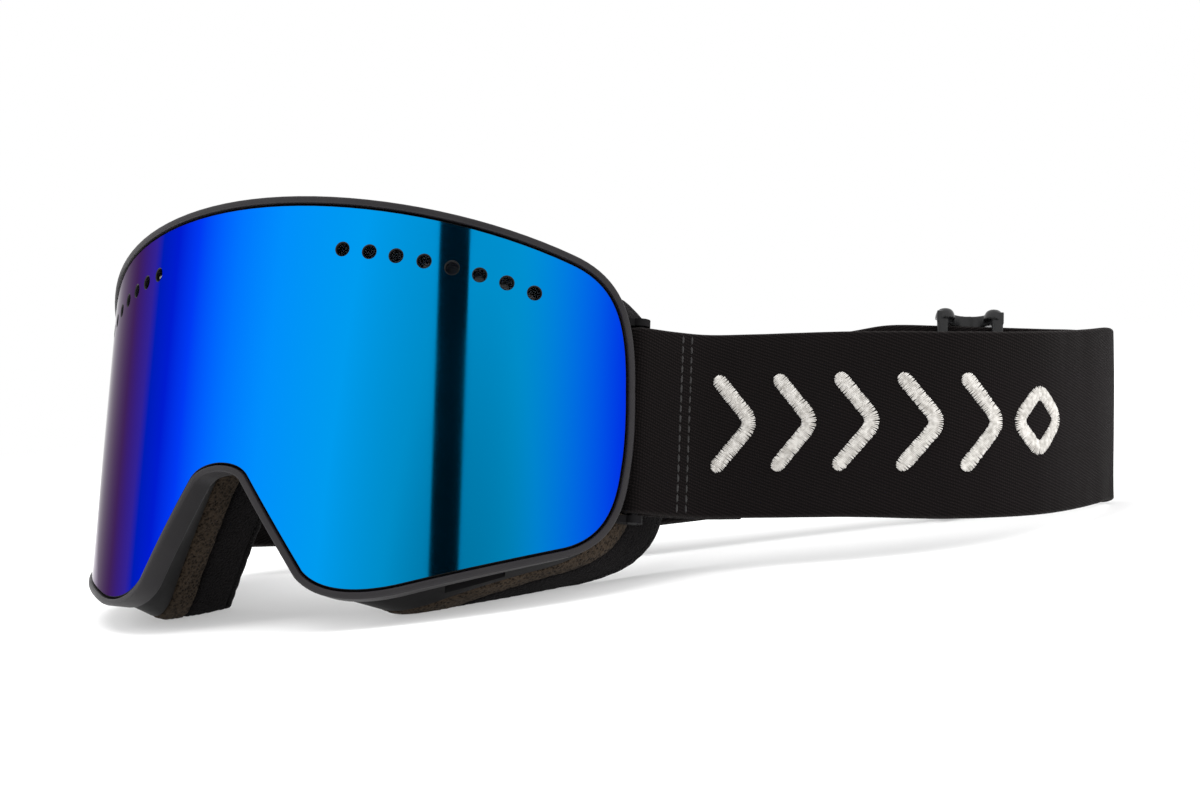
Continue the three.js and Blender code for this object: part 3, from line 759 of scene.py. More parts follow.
def paneMesh(name, inset, front, back, bevel, holes, material, edgeMaterial):
    # A curved pane: the outline is triangulated flat, then bent round the cylinder, front and back.
    # Each border is four rings deep: front edge, two at the bevels, back edge.
    def borders(shrink):
        rings = [[p + o * (inset - shrink) for p, o in lensOutline]]
        return rings + [circle(c, r + shrink, lensBuild["ventSides"]) for c, r in holes]

    flat, edges = [], []
    for ring in borders(bevel):
        first = len(flat)
        flat += ring
        edges += [(first + i, first + (i + 1) % len(ring)) for i in range(len(ring))]
    borderCount = len(flat)
    outer, *holeRings = borders(bevel)
    flat += gridPoints(outer, holes)
    flatPoints, _, triangles, sources, _, _ = delaunay_2d_cdt(flat, edges, [], 0, 1e-5)
    kept = []
    for t in triangles:
        middle = sum((flatPoints[i] for i in t), Vector((0, 0))) / len(t)
        if inside(middle, outer) and not any(inside(middle, ring) for ring in holeRings):
            kept.append(tuple(t))
    count = len(flatPoints)
    points = [onLens(p, front) for p in flatPoints] + [onLens(p, back) for p in flatPoints]
    faces = kept + [tuple(i + count for i in reversed(t)) for t in kept]
    where = {s: i for i, source in enumerate(sources) for s in source if s < borderCount}
    offset = 0
    for ring in borders(0.0):
        size = len(ring)
        base = len(points)
        points += [onLens(p, front - bevel) for p in ring] + [onLens(p, back + bevel) for p in ring]
        for i in range(size):
            j = (i + 1) % size
            a, b = where[offset + i], where[offset + j]
            faces += [(a, b, base + j, base + i), (base + i, base + j, base + size + j, base + size + i),
                      (base + size + i, base + size + j, count + b, count + a)]
        offset += size
    if volumeSign(points, faces) < 0:
        faces = [tuple(reversed(f)) for f in faces]
    flatFaces = 2 * len(kept)
    made = toObject(name, points, faces, material, normals=lambda mesh: cylinderNormals(mesh, flatFaces))
    # The coating stops at the cut edges, which are plain dark plastic.
    made.data.materials.append(edgeMaterial)
    for polygon in made.data.polygons:
        if polygon.index >= flatFaces:
            polygon.material_index = 1
    return made


def lensRing(name, corners, radius, material):
    section = roundedSection(corners, radius, 4)
    rings = [[onLens(p + o * c.x, c.y) for c in section] for p, o in lensOutline]
    return sharpen(loft(name, rings, material), 50)


ventHoles = [((side * a, b), lensBuild["ventDiameter"] / 2)
             for a, b in lensBuild["vents"] for side in (-1, 1)]
outerLens = paneMesh("outerLens", 0.0, 0.0, -lensBuild["thickness"], lensBuild["edgeBevel"], ventHoles,
                     mirrorCoat, carrierPlastic)
innerLens = paneMesh("innerLens", -5.5, -4.2, -5.0, 0.15, [], clearPane, clearPane)
lensCarrier = lensRing("lensCarrierRing", [(-0.4, -1.5), (-0.4, -3.3), (-4.8, -3.3), (-4.8, -1.5)], 0.3,
                       carrierPlastic)
lensGasket = lensRing("lensGasketRing", [(-5.7, -1.35), (-8.0, -1.35), (-8.0, -4.05), (-5.7, -4.05)], 0.4,
                      gasketFoam)
for piece, nodeName, slotName in ((outerLens, "outer_lens", "mirror_coat"),
                                  (innerLens, "inner_lens", "clear_pane"),
                                  (lensCarrier, "lens_carrier", "carrier_plastic"),
                                  (lensGasket, "lens_gasket", "gasket_foam")):
    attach(piece, "lens_cassette")
    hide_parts(nodeName)

bezelBuild = {"play": 0.5, "lip": 1.7, "front": 0.7, "ledgeFront": -3.6, "ledgeBack": -5.2,
              "ledgeInset": -5.0}


def makeBezel():
    b = bezelBuild
    outer = b["play"] + b["lip"]
    corners = [(b["play"], b["ledgeFront"] + 0.1), (b["play"], b["front"]), (outer, b["front"]),
               (outer, b["ledgeBack"]), (b["ledgeInset"], b["ledgeBack"]),
               (b["ledgeInset"], b["ledgeFront"])]
    made = lensRing("bezelRing", corners, 0.55, bezelPlastic)
    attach(made, "goggles")
    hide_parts("bezel")
    return made


makeBezel()
for name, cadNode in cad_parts.items():
    if "magnet" in name:
        cadNode.data.materials.clear()
        cadNode.data.materials.append(nickel)
print("lens cassette and bezel ready")

# The strap's values come first, because the frame's ears fit its width.
strap = {
    "width": 46.0, "thickness": 1.8, "layer": 2.1, "loopRadius": 2.4, "anchorBottom": -24.0, "loopLeg": 6.0,
    "loopGap": 1.2, "headingRight": (0.55, 0.835), "headingLeft": (-0.2, 0.98),
    "slideCentre": (131.0, 147.0), "slideTurn": 210.0, "straightBottom": -7.4, "spacing": 1.3,
    "fineSpacing": 0.78, "heldWithin": 14, "easeOver": 25, "selvedge": 0.75, "sectionRows": 16,
}

# Face frame

frameBuild = {
    "wall": 3.5, "flange": 2.0, "gap": 0.3, "press": 0.1, "edge": 1.0, "rimOutside": 1.6, "rimInside": 4.8,
    "topVents": (-48, -24, 0, 24, 48), "topVentSize": (15, 4, 14), "topVentHeight": 45,
    "lowVents": (-58, 58), "lowVentSize": (14, 4, 12), "lowVentHeight": -42,
    "earRadius": 2.4, "earHeight": 1.8, "earPlay": 0.5, "earReach": 9.0, "earTurn": 0.746, "earWidth": 3.2,
    "armLower": 0.02, "pinHole": 1.45, "pinReach": 40,
}


def rodRings(radius, low, high, centre, sides=32):
    return [[Vector((p.x, p.y, z)) for p in circle(centre, radius, sides)] for z in (low, high)]


def boxRings(width, depth, height, centre, turn=0.0):
    c, s = math.cos(turn), math.sin(turn)
    corners = [(-width / 2, -depth / 2), (width / 2, -depth / 2), (width / 2, depth / 2),
               (-width / 2, depth / 2)]
    return [[Vector((centre[0] + x * c - y * s, centre[1] + x * s + y * c, centre[2] + h))
             for x, y in corners] for h in (-height / 2, height / 2)]


def ventDepth(x):
    ledge = stand["lensRadius"] - math.sqrt((stand["lensRadius"] + bezelBuild["ledgeBack"]) ** 2 - x * x)
    return (ledge + faceDepth(x) - frameBuild["flange"]) / 2


def combine(made, tools, operation):
    for tool in tools:
        applyModifier(made, "BOOLEAN", operation=operation, solver="EXACT", object=tool)
        bpy.data.objects.remove(tool)


def makeFaceFrame():
    f = frameBuild
    rings = []
    for (lensPoint, lensOut), (facePoint, faceOut), (openPoint, _) in zip(lensOutline, faceOutline,
                                                                          openingOutline):
        rimDepth = bezelBuild["ledgeBack"] - f["gap"] + 2 * f["press"]
        faceBack, underside = f["press"] - f["gap"], -f["gap"] - f["flange"]
        corners = [onLens(lensPoint + lensOut * f["rimOutside"], rimDepth), onFace(facePoint, faceBack),
                   onFace(openPoint, faceBack), onFace(openPoint, underside),
                   onFace(facePoint - faceOut * f["wall"], underside),
                   onLens(lensPoint - lensOut * f["rimInside"], rimDepth)]
        ring = []
        for i, corner in enumerate(corners):
            a, b = corners[i - 1] - corner, corners[(i + 1) % len(corners)] - corner
            cut = min(f["edge"], a.length * 0.4, b.length * 0.4)
            ring += rounding(corner + a.normalized() * cut, corner, corner + b.normalized() * cut, 3)
        rings.append(ring)
    made = loft("faceFrameShell", rings, frameRubber)
    adds, cuts = [], []

    def block(tools, name, rings):
        tools.append(loft(name, rings, frameRubber, closed=False))

    levels = (strap["anchorBottom"] - f["earPlay"] - f["earHeight"],
              strap["anchorBottom"] + strap["width"] + f["earPlay"])
    for side in (-1, 1):
        pin = (side * stand["pinSide"], stand["pinBack"])
        half = f["earReach"] / 2
        arm = (pin[0] - side * half * math.cos(f["earTurn"]), pin[1] - half * math.sin(f["earTurn"]))
        for level in levels:
            block(adds, "earDisc", rodRings(f["earRadius"], level, level + f["earHeight"], pin))
            block(adds, "earArm", boxRings(f["earReach"], f["earWidth"], f["earHeight"] - f["armLower"],
                                           (*arm, level + f["earHeight"] / 2), side * f["earTurn"]))
        block(cuts, "pinHole", rodRings(f["pinHole"], -f["pinReach"], f["pinReach"], pin))
    for x in f["topVents"]:
        # The brow curves down towards the sides, and its vents with it.
        spot = (x, ventDepth(x), f["topVentHeight"] - (x / 24) ** 2)
        block(cuts, "vent", boxRings(*f["topVentSize"], spot, math.asin(x / face["radius"])))
    for x in f["lowVents"]:
        spot = (x, ventDepth(x), f["lowVentHeight"])
        block(cuts, "vent", boxRings(*f["lowVentSize"], spot, math.asin(x / face["radius"])))
    combine(made, adds, "UNION")
    combine(made, cuts, "DIFFERENCE")
    made.data.materials.clear()
    made.data.materials.append(frameRubber)
    made.data.shade_smooth()
    sharpen(made, 35)
    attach(made, "goggles")
    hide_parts("face_frame")
    return made


makeFaceFrame()


def ventFoam(name, nodeName, indices, inset):
    rings = []
    for i in indices:
        point, out = faceOutline[i % len(faceOutline)]
        near, far = point - out * inset, point - out * (inset + 2.6)
        section = roundedSection([(0, -2.3), (0, 2.3), (1, 2.3), (1, -2.3)], 0.3, 3)
        ring = []
        for c in section:
            flat = near.lerp(far, c.x)
            lump = noise.noise(Vector((flat.x, flat.y, c.y)) * 0.9) * 0.15
            ring.append(Vector((flat.x, ventDepth(flat.x) + c.y + lump, flat.y + lump)))
        rings.append(ring)
    made = loft(name, rings, brownFoam, closed=False)
    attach(made, "goggles")
    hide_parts(nodeName)
    return made


browEnd = int(0.87 * outlineSteps)  # how far along the outline's stretches the foam strips run
cheek = range(int(4.1 * outlineSteps), int(4.9 * outlineSteps))
ventFoam("browVentFoam", "vent_foam_brow", range(-browEnd, browEnd + 1), 5.4)
ventFoam("cheekVentFoamRight", "vent_foam_cheek_right", cheek, 7.4)
ventFoam("cheekVentFoamLeft", "vent_foam_cheek_left", [len(faceOutline) - i for i in reversed(cheek)], 7.4)
print("face frame ready")

# Face foam

foamBuild = {
    # name: (CAD node, slot, material, front depth, thickness, corner radius, surface unevenness, fill)
    "baseFoam": ("foam_base", "open_foam", brownFoam, 0.0, 7.7, 0.5, 0.16, 0.9),
    "middleFoam": ("foam_middle", "dense_foam", blackFoam, 7.7, 12.3, 0.7, 0.14, 0.85),
    "fleeceFace": ("foam_fleece", "fleece", blackFleece, 19.9, 1.9, 1.6, 0.22, 0.8),
}


def cushionRing(outerPoint, innerPoint, front, thickness, radius):
    # The cushion's cut: its sides bulge a little and its free back edge is rounded over.
    width = (outerPoint - innerPoint).length
    across = (innerPoint - outerPoint) / width
    corners = [(0, front), (0, front + thickness), (width, front + thickness), (width, front)]
    section = roundedSection(corners, radius)
    ring = []
    for here, following in zip(section, section[1:] + section[:1]):
        pieces = max(1, int((following - here).length / 2.2))
        for c in (here.lerp(following, k / pieces) for k in range(pieces)):
            swell = math.sin(math.pi * clamp((c.y - front) / thickness)) * 0.35
            side = -swell if c.x < width * 0.1 else (swell if c.x > width * 0.9 else 0)
            ring.append(onFace(outerPoint + across * (c.x + side), c.y))
    return spread(ring + ring[:1], 44)


def makeFoam(name):
    nodeName, slotName, material, front, thickness, radius, uneven, fill = foamBuild[name]
    rings = [cushionRing(outerPoint, innerPoint, front, thickness, radius)
             for (outerPoint, _), (innerPoint, _) in zip(faceOutline, openingOutline)]
    made = loft(name, rings, material)
    for vertex in made.data.vertices:
        lump = noise.fractal(vertex.co * 420, 0.9, 2.1, 3) * uneven * mm
        vertex.co += vertex.normal * lump
        # The foam stands on the floor and is pressed flat there.
        vertex.co.z = max(vertex.co.z, 0.0001)
    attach(made, "goggles")
    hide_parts(nodeName)


for foamName in foamBuild:
    makeFoam(foamName)
print("foam ready")

# Strap

headingRight, headingLeft = (Vector(strap[name]).normalized() for name in ("headingRight", "headingLeft"))
slideCentre, slideAngle = Vector(strap["slideCentre"]), math.radians(strap["slideTurn"])
slideRun = Vector((math.cos(slideAngle), math.sin(slideAngle)))


def slideSpot(ahead, drop=0.0):
    p = slideCentre + slideRun * ahead
    return (p.x, p.y, strap["straightBottom"] - drop)


def loopSpot(side, heading, offset, ahead):
    outward = Vector((heading.y, -heading.x))
    p = Vector((side * stand["pinSide"], stand["pinBack"])) + outward * offset + heading * ahead
    return (p.x, p.y, strap["anchorBottom"])


def smoothRoute(points, steps):
    # A centripetal curve through the points.
    points = [Vector(p) for p in points]
    ends = [points[0] * 2 - points[1]] + points + [points[-1] * 2 - points[-2]]
    route = []
    spans = len(points) - 1
    for k in range(steps + 1):
        place = k / steps * spans
        i = min(int(place), spans - 1)
        t = place - i
        p0, p1, p2, p3 = ends[i:i + 4]
        d0, d1, d2 = ((b - a).length ** 0.5 for a, b in ((p0, p1), (p1, p2), (p2, p3)))
        d1 = max(d1, 1e-4)
        m1 = ((p1 - p0) / d0 - (p2 - p0) / (d0 + d1) + (p2 - p1) / d1) * d1
        m2 = ((p2 - p1) / d1 - (p3 - p1) / (d1 + d2) + (p3 - p2) / d2) * d1
        route.append(p1 * (2 * t ** 3 - 3 * t * t + 1) + m1 * (t ** 3 - 2 * t * t + t)
                     + p2 * (3 * t * t - 2 * t ** 3) + m2 * (t ** 3 - t * t))
    return route


mainPoints = [
    loopSpot(1, headingRight, strap["loopRadius"], strap["loopLeg"] + strap["loopGap"]),
    (95, 69.2, -23.6), (106.5, 75.8, -23), (128, 82, -22.8), (150.5, 93.6, -22.4), (163.5, 113, -19.2),
    (167.6, 138, -13.4), (167.2, 153, -9.6), (165.6, 160.4, -8.4), (162.2, 163.2, -8.4),
    slideSpot(-29), slideSpot(-22), slideSpot(-8), slideSpot(8), slideSpot(22, 0.35), slideSpot(33, 2.6),
    (83, 118.6, -14.2), (62, 105, -18.5), (38, 98.6, -20.8), (0, 97, -21.3), (-38, 96, -21.3),
    (-60, 94.5, -21.4), (-74, 91, -21.8), (-83, 84, -22.4), (-86, 75, -23.2),
    loopSpot(-1, headingLeft, strap["loopRadius"], strap["loopLeg"] + strap["loopGap"]),
]


def routeLength(route):
    return sum((b - a).length for a, b in zip(route, route[1:]))


def evenly(route, spacing):
    # The same line with points at equal distances.
    return spread(route, max(2, round(routeLength(route) / spacing))) + [route[-1].copy()]


def outwardOf(route, i):
    run = route[min(i + 1, len(route) - 1)] - route[max(i - 1, 0)]
    return Vector((run.y, -run.x, 0)).normalized()


mainRoute = evenly(smoothRoute(mainPoints, 900), strap["spacing"])
slideIndex = min(range(len(mainRoute)), key=lambda i: (mainRoute[i].xy - slideCentre).length)
rightRun, leftRun = mainRoute[:slideIndex + 1], mainRoute[slideIndex:]
print("strap main run", round(routeLength(mainRoute)), "mm")


def halfTurn(side, heading, radius, fromOuter):
    # Points round the pin from one leg to the other.
    spots = [Vector(loopSpot(side, heading, radius * math.cos(a), -radius * math.sin(a)))
             for a in (math.pi * i / 12 for i in range(13))]
    return spots if fromOuter else spots[::-1]


def relax(route, rounds):
    for _ in range(rounds):
        inner = [(a + b * 2 + c) / 4 for a, b, c in zip(route, route[1:], route[2:])]
        route = [route[0]] + inner + [route[-1]]
    return route


# Right piece: the sewn end, round the pin, then the near run and the fold to the slide.
sewnEnd = [mainRoute[i] - outwardOf(mainRoute, i) * strap["layer"] for i in (15, 13, 11, 9, 7)]
rightRoute = sewnEnd + halfTurn(1, headingRight, strap["loopRadius"], False) + rightRun
rightRoute = relax(evenly(rightRoute, strap["fineSpacing"]), 3)


def loopEase(share):
    # How far the return layer lies from the main one: it opens to the loop's width near the pin.
    t = clamp((share - 0.86) / 0.14)
    return strap["layer"] + (2 * strap["loopRadius"] - strap["layer"]) * t * t * (3 - 2 * t)


# Left piece: from the slide along the far run, round the pin and back along its own outside.
returnRoute = [p + outwardOf(leftRun, i) * loopEase(i / (len(leftRun) - 1))
               for i, p in enumerate(leftRun)][::-1]
returnStart = 22  # the left piece reaches this many points past the pin
leftRoute = leftRun + halfTurn(-1, headingLeft, strap["loopRadius"], True) + returnRoute[:returnStart + 1]
leftRoute = evenly(leftRoute, strap["fineSpacing"])

slideInward = Vector((-slideRun.y, slideRun.x))


def inSlide(x, y):
    # The slide's own axes: x along the webbing towards the left pin, y towards the head.
    p = slideCentre + slideRun * x + slideInward * y
    return Vector((p.x, p.y, strap["straightBottom"]))


# Return piece: up to the slide, round its middle bar and sewn down on itself.
tab = {"turnAt": -1.6, "radius": 2.2, "barDepth": 4.3, "sewnTo": 18.5, "sewnFrom": 13.0}
layer = strap["layer"]
innerLeg = [inSlide(x, -layer) for x in (20, 15, 10, 5, 1)]
turn = [inSlide(tab["turnAt"] - tab["radius"] * math.sin(a), -tab["barDepth"] + tab["radius"] * math.cos(a))
        for a in (math.pi * i / 12 for i in range(13))]
outerTop = -tab["barDepth"] - tab["radius"]
outerLeg = [inSlide(x, y) for x, y in ((1, outerTop), (4, outerTop + 0.1), (8, outerTop + 0.9),
                                       (11, -2 * layer - 0.25), (tab["sewnFrom"] + 1, -2 * layer),
                                       (tab["sewnTo"], -2 * layer))]
nearSlide = next(i for i, p in enumerate(returnRoute)
                 if (p.xy - slideCentre).dot(slideRun) < 24 and (p.xy - slideCentre).length < 30)
backRoute = evenly(returnRoute[returnStart:nearSlide] + innerLeg + turn + outerLeg, strap["fineSpacing"])


def webbingSection():
    # (outward, height) round a strap's cut: flat faces with enough points to waver, rounded selvedges
    half, width, rows, edge = strap["thickness"] / 2, strap["width"], strap["sectionRows"], strap["selvedge"]
    heights = [edge + (width - 2 * edge) * i / rows for i in range(rows + 1)]
    angles = [math.pi * i / 6 for i in range(1, 6)]
    section = [(half, v) for v in heights]
    section += [(half * math.cos(a), width - edge + edge * math.sin(a)) for a in angles]
    section += [(-half, v) for v in reversed(heights)]
    section += [(-half * math.cos(a), edge - edge * math.sin(a)) for a in angles]
    return section


wander = {"rippleScale": (0.035, 0.05), "ripple": 0.55, "flutterScale": 0.16, "flutter": 0.28}


def waver(p, height):
    # Elastic never lies quite flat: its edges wander a little, neighbouring layers alike.
    toEdge = (2 * height / strap["width"] - 1) ** 2
    wide, tall = wander["rippleScale"]
    ripple = noise.noise(Vector((p.x * wide, p.y * wide, height * tall))) * wander["ripple"]
    fine, upperHalf = wander["flutterScale"], height > strap["width"] / 2
    flutter = noise.noise(Vector((p.x * fine, p.y * fine, 5.0 + upperHalf))) * wander["flutter"]
    return ripple * (0.4 + toEdge) + flutter * toEdge


pinRight = Vector((stand["pinSide"], stand["pinBack"]))
pinLeft = Vector((-stand["pinSide"], stand["pinBack"]))


def looseness(p):
    # Only the free runs waver: 0 near the pins and the slide, rising to 1 away from them.
    held = min((p.xy - spot).length for spot in (pinRight, pinLeft, slideCentre))
    return clamp((held - strap["heldWithin"]) / strap["easeOver"])


def webbingBand(name, route):
    section = webbingSection()
    rings, uvs = [], []
    gone = 0.0
    for i, p in enumerate(route):
        if i:
            gone += (p - route[i - 1]).length
        outward = outwardOf(route, i)
        ring = []
        for offset, height in section:
            ring.append(p + outward * offset + Vector((0, 0, height)))
            uvs.append((gone * mm, height * mm))
        rings.append(ring)
    made = loft(name, rings, webbing, closed=False, uvs=uvs)
    inverse = toRow.inverted()
    for vertex in made.data.vertices:
        local = inverse @ vertex.co / mm
        ease = looseness(local)
        if ease:
            away = outwardOf(mainRoute, nearestMain(local))
            vertex.co += toRow.to_3x3() @ (away * waver(local, vertexHeight(local)) * ease) * mm
    sharpen(made, 60)
    return made


routeTree = KDTree(len(mainRoute))
for i, p in enumerate(mainRoute):
    routeTree.insert((p.x, p.y, 0), i)
routeTree.balance()


def nearestMain(local):
    return routeTree.find((local.x, local.y, 0))[1]


def vertexHeight(local):
    return clamp(local.z - mainRoute[nearestMain(local)].z, 0, strap["width"])


strapRight = webbingBand("strapRight", rightRoute)
strapLeft = webbingBand("strapLeft", leftRoute)
strapReturn = webbingBand("strapReturn", backRoute)


def followRight(piece):
    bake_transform(piece)


def followLeft(piece):
    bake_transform(piece)


def followSlide(piece):
    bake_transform(piece)


followRight(strapRight)
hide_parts("strap_main", "strap_loop_right")
followLeft(strapLeft)
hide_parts("strap_loop_left")
followSlide(strapReturn)
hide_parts("strap_return", "slide_tab")
print("strap ready")

# Slide, pins and silicone lines

slideBuild = {
    "halfLength": 9.0, "inside": 1.2, "endBar": 2.2, "endBarWidth": 3.0, "endBarInset": 1.7, "crown": 5.6,
    "wall": 3.0, "railAt": 23.3, "railHeight": 3.2, "barWidth": 4.0, "barThickness": 2.0, "barRounding": 0.7,
    "knobRadius": 2.7, "knobRise": 1.1, "knobOverhang": 0.2, "knobOutward": 1.6, "knobStretch": 1.15,
    "voxel": 0.26,
}


def slideArch():
    # The rail's outline, along the webbing and towards the head.
    s = slideBuild
    reach, foot, crown = s["halfLength"], s["inside"] + s["endBar"], s["crown"]
    inner = s["wall"] - crown
    left = [Vector((-reach, foot))]
    left += cubic(Vector((-reach, foot)), Vector((-reach + 1, -1)), Vector((-6, -crown)),
                  Vector((0, -crown)), 14)
    under = [Vector((0, inner))]
    under += cubic(Vector((0, inner)), Vector((-4, inner)), Vector((-reach + 4, 1)),
                   Vector((-reach + s["wall"], foot)), 14)
    arch = left + [Vector((-p.x, p.y)) for p in reversed(left[:-1])]
    return arch + [Vector((-p.x, p.y)) for p in reversed(under)] + under[1:]


def onSlide(x, y, z):
    # The slide's axes again, with z up from the webbing's middle.
    p = inSlide(x, y)
    return Vector((p.x, p.y, strap["straightBottom"] + strap["width"] / 2 + z))


def slideBlock(name, section, low, high):
    rings = [[onSlide(p.x, p.y, z) for p in section] for z in (low, high)]
    return loft(name, rings, slidePlastic, closed=False)


def slideBar(x, y, width, depth):
    s = slideBuild
    half = s["railAt"] + s["railHeight"] * 0.7
    corners = [(x - width / 2, y - depth / 2), (x + width / 2, y - depth / 2),
               (x + width / 2, y + depth / 2), (x - width / 2, y + depth / 2)]
    return slideBlock("slideBar", roundedSection(corners, s["barRounding"]), -half, half)


def slideKnob(x, y, side):
    # A rounded knob at a rail's corner, standing a little above or below it.
    s = slideBuild
    rings = []
    for k in range(9):
        a = math.pi / 2 * k / 8
        height = s["railAt"] + s["railHeight"] * 0.4 + (s["railHeight"] * 0.6 + s["knobRise"]) * math.sin(a)
        radius = s["knobRadius"] * max(math.cos(a), 0.05) ** 0.6
        rings.append([onSlide(x + radius * math.cos(t), y + radius * s["knobStretch"] * math.sin(t),
                              side * height)
                      for t in (2 * math.pi * i / 24 for i in range(24))])
    return loft("slideKnob", rings, slidePlastic, closed=False)


def makeSlide():
    # An arched three-bar slide: end bars inside the main run, the middle bar outside it.
    s = slideBuild
    low, high = s["railAt"], s["railAt"] + s["railHeight"]
    middle = s["inside"] + s["endBar"] / 2
    barAt = s["halfLength"] - s["endBarInset"]
    knobAt = s["halfLength"] - s["knobRadius"] + s["knobOverhang"]
    arch = slideArch()
    made = slideBlock("slide", arch, low, high)
    others = [slideBlock("slideRail", arch, -high, -low)]
    others += [slideBar(x, middle, s["endBarWidth"], s["endBar"]) for x in (-barAt, barAt)]
    others.append(slideBar(0, -tab["barDepth"], s["barWidth"], s["barThickness"]))
    others += [slideKnob(x, middle - s["knobOutward"], side) for x in (-knobAt, knobAt) for side in (-1, 1)]
    combine(made, others, "UNION")
    # Moulded edges: a fine remesh, relaxed a little.
    applyModifier(made, "REMESH", mode="VOXEL", voxel_size=s["voxel"] * mm)
    applyModifier(made, "SMOOTH", factor=0.5, iterations=4)
    made.data.materials.clear()
    made.data.materials.append(slidePlastic)
    made.data.shade_smooth()
    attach(made, "adjuster")
    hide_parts("slide")


makeSlide()
for name in ("strap_pin_right", "strap_pin_left"):
    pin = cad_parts[name]
    pin.data.materials.clear()
    pin.data.materials.append(pinSteel)

grips = {
    "lines": {"Upper": (35, "grip_bead_upper"), "Middle": (23, "grip_bead_middle"),
              "Lower": (11, "grip_bead_lower")},
    "width": 2.0, "thickness": 0.65, "bedding": 0.25, "from": 56, "to": -58, "wave": 0.9, "waveLength": 14.0,
}


def makeGripLine(name):
    height, nodeName = grips["lines"][name]
    inner = strap["thickness"] / 2
    run = [(p, outwardOf(mainRoute, i)) for i, p in enumerate(mainRoute)
           if i > slideIndex and grips["to"] < p.x < grips["from"]]
    rings, gone = [], 0.0
    for i, (p, outward) in enumerate(run):
        gone += (p - run[i - 1][0]).length if i else 0
        tip = min(i, len(run) - 1 - i, 2) / 2
        wave = grips["wave"] * math.sin(2 * math.pi * gone / grips["waveLength"])
        aside = waver(p - outward * inner, height)
        ring = []
        for k in range(12):
            a = 2 * math.pi * k / 12
            across = math.cos(a) * grips["width"] / 2 * (0.35 + 0.65 * tip)
            rise = max(math.sin(a), -0.2) * grips["thickness"] * (0.4 + 0.6 * tip)
            inward = inner + grips["bedding"] + rise - aside
            ring.append(p - outward * inward + Vector((0, 0, height + wave + across)))
        rings.append(ring)
    made = loft("siliconeLine" + name, rings, gripSilicone, closed=False)
    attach(made, "goggles")
    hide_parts(nodeName)


for name in grips["lines"]:
    makeGripLine(name)
print("slide and silicone lines ready")

# Stitching

stitching = {
    "motifPitch": 0.36, "motifThread": (0.27, 2.1, 0.42), "motifTurn": 0.09, "motifLift": 0.1,
    "motifSeed": 4,
    "chevrons": 5, "chevronFrom": 12.5, "chevronPitch": 15.2, "chevronDepth": 9.5, "motifHeight": 11.6,
    "cornerRadius": 3.2, "diamondAt": 95.5, "diamondHalf": (7.5, 8.0), "middle": 23.4,
    "seamPitch": 2.4, "seamThread": (1.05, 0.3, 0.26), "seamTurn": 0.06, "seamSeed": 7,
    "seamSpan": (2.0, 44.0),
}


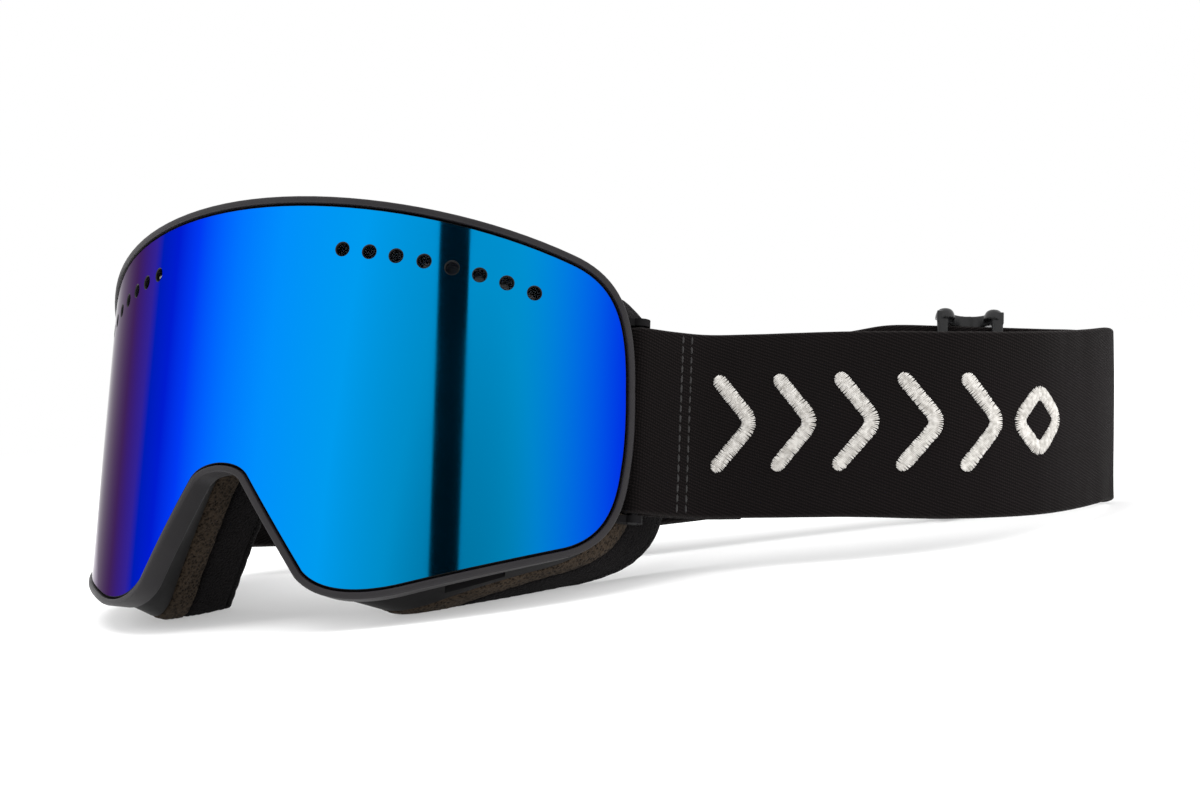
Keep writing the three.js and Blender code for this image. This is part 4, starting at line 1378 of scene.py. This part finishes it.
def makeStitchTree():
    # Threads laid along a line: each is a small spindle, long either across or along it.
    tree = bpy.data.node_groups.new("laidThreads", "GeometryNodeTree")
    sockets = {}
    for label, kind in (("Geometry", "Geometry"), ("Pitch", "Float"), ("Thread", "Vector"),
                        ("Turn", "Float"), ("End rounding", "Float"), ("Seed", "Int"),
                        ("Material", "Material")):
        made = tree.interface.new_socket(name=label, in_out="INPUT", socket_type="NodeSocket" + kind)
        sockets[label] = made.identifier
    tree.interface.new_socket(name="Geometry", in_out="OUTPUT", socket_type="NodeSocketGeometry")
    given = tree.nodes.new("NodeGroupInput").outputs
    put = tree.nodes.new("NodeGroupOutput").inputs

    def uneven(low, high):
        return node(tree, "FunctionNodeRandomValue", {"Min": low, "Max": high, "Seed": given["Seed"]},
                    data_type="FLOAT_VECTOR").outputs["Value"]

    def timesVector(a, b):
        return node(tree, "ShaderNodeVectorMath", {0: a, 1: b}, operation="MULTIPLY").outputs["Vector"]

    curve = node(tree, "GeometryNodeMeshToCurve", {"Mesh": given["Geometry"]})
    spaced = node(tree, "GeometryNodeResampleCurve",
                  {"Curve": curve.outputs["Curve"], "Length": given["Pitch"]}, mode="LENGTH")
    thread = node(tree, "GeometryNodeMeshUVSphere", {"Segments": 6, "Rings": 6, "Radius": 1.0})
    tangent = node(tree, "GeometryNodeInputTangent")
    aim = node(tree, "FunctionNodeAlignRotationToVector", {"Vector": tangent.outputs["Tangent"]},
               axis="X", pivot_axis="Z")
    turned = node(tree, "ShaderNodeVectorMath",
                  {0: uneven((-0.02, -0.02, -1), (0.02, 0.02, 1)), "Scale": given["Turn"]},
                  operation="SCALE")
    twist = node(tree, "FunctionNodeRotateRotation",
                 {"Rotation": aim.outputs["Rotation"], "Rotate By": turned.outputs["Vector"]},
                 rotation_space="LOCAL")
    size = timesVector(given["Thread"], uneven((0.94, 0.93, 0.82), (1.06, 1.05, 1.1)))
    # Towards a line's ends the threads get shorter, as a quarter circle does.
    gone = node(tree, "GeometryNodeSplineParameter").outputs["Length"]
    whole = node(tree, "GeometryNodeSplineLength").outputs["Length"]
    nearest = sums(tree, "ADD", sums(tree, "MINIMUM", gone, sums(tree, "SUBTRACT", whole, gone)), 0.25)
    share = sums(tree, "DIVIDE", nearest, sums(tree, "MAXIMUM", given["End rounding"], 0.01), kept=True)
    short = sums(tree, "SUBTRACT", 1.0, share)
    rounded = sums(tree, "SQRT", sums(tree, "SUBTRACT", 1.0, sums(tree, "MULTIPLY", short, short)))
    endSize = node(tree, "ShaderNodeCombineXYZ", {"X": 1.0, "Y": rounded, "Z": 1.0})
    placed = node(tree, "GeometryNodeInstanceOnPoints",
                  {"Points": spaced.outputs["Curve"], "Instance": thread.outputs["Mesh"],
                   "Rotation": twist.outputs["Rotation"],
                   "Scale": timesVector(size, endSize.outputs["Vector"])})
    real = node(tree, "GeometryNodeRealizeInstances", {"Geometry": placed.outputs["Instances"]})
    finish = node(tree, "GeometryNodeSetMaterial",
                  {"Geometry": real.outputs["Geometry"], "Material": given["Material"]})
    tree.links.new(finish.outputs["Geometry"], put["Geometry"])
    return tree, sockets


stitchTree, stitchSockets = makeStitchTree()


def layThreads(name, lines, kind, material, endRounding=0.0):
    # kind is motif or seam; lines are drawn flat in millimetres: along the strap, up it
    points, edges = [], []
    for line in lines:
        first = len(points)
        isLoop = line[0] == line[-1]
        drawn = line[:-1] if isLoop else line
        points += [(x, y, 0) for x, y in drawn]
        edges += [(first + i, first + i + 1) for i in range(len(drawn) - 1)]
        if isLoop:
            edges.append((first + len(drawn) - 1, first))
    mesh = bpy.data.meshes.new(name)
    mesh.from_pydata(points, edges, [])
    made = bpy.data.objects.new(name, mesh)
    bpy.context.scene.collection.objects.link(made)
    modifier = made.modifiers.new("threads", "NODES")
    modifier.node_group = stitchTree
    for label in ("Pitch", "Thread", "Turn", "Seed"):
        modifier[stitchSockets[label]] = stitching[kind + label]
    modifier[stitchSockets["End rounding"]] = endRounding
    modifier[stitchSockets["Material"]] = material
    settle(made, modifier)
    made.data.shade_smooth()
    return made


def layOnRoute(made, route, rise=0.0):
    # Bends the flat threads onto a strap's outer face.
    spacing = routeLength(route) / (len(route) - 1)
    for vertex in made.data.vertices:
        u, v, h = vertex.co
        place = clamp(u / spacing, 0, len(route) - 1.001)
        i = int(place)
        p = route[i].lerp(route[i + 1], place - i)
        outward = outwardOf(route, i).lerp(outwardOf(route, i + 1), place - i)
        lift = strap["thickness"] / 2 + h + rise
        vertex.co = toRow @ ((p + outward * (lift + waver(p, v) * looseness(p)) + Vector((0, 0, v))) * mm)


def roundCorner(a, corner, b, radius):
    # The line a, corner, b with its corner eased into a curve.
    a, corner, b = Vector(a), Vector(corner), Vector(b)
    start = corner + (a - corner).normalized() * radius
    end = corner + (b - corner).normalized() * radius
    return [tuple(p) for p in rounding(start, corner, end, 7)]


def makeMotif():
    s = stitching
    mid, tall = s["middle"], s["motifHeight"]
    chevrons = []
    for i in range(s["chevrons"]):
        x = s["chevronFrom"] + i * s["chevronPitch"]
        low, tip, high = (x, mid - tall), (x + s["chevronDepth"], mid), (x, mid + tall)
        chevrons.append([low] + roundCorner(low, tip, high, s["cornerRadius"]) + [high])
    x, (wide, high) = s["diamondAt"], s["diamondHalf"]
    corners = [(x - wide, mid), (x, mid + high), (x + wide, mid), (x, mid - high)]
    diamond = []
    for i in range(4):
        diamond += roundCorner(corners[i - 1], corners[i], corners[(i + 1) % 4], s["cornerRadius"])
    diamond.append(diamond[0])
    for name, lines, endRounding in (("chevronEmbroidery", chevrons, s["motifThread"][1]),
                                     ("diamondEmbroidery", [diamond], 0.0)):
        made = layThreads(name, lines, "motif", whiteThread, endRounding)
        layOnRoute(made, rightRun, s["motifLift"])
        followRight(made)


def seam(name, places, route, follow):
    low, high = stitching["seamSpan"]
    made = layThreads(name, [[(u, low), (u, high)] for u in places], "seam", darkThread)
    layOnRoute(made, route)
    follow(made)


makeMotif()
tabLength = routeLength(backRoute)
seam("rightEndStitching", (3.0, 5.5), rightRun, followRight)
seam("slideEndStitching", (tabLength - 4.5, tabLength - 2.0), backRoute, followSlide)
print("stitching ready")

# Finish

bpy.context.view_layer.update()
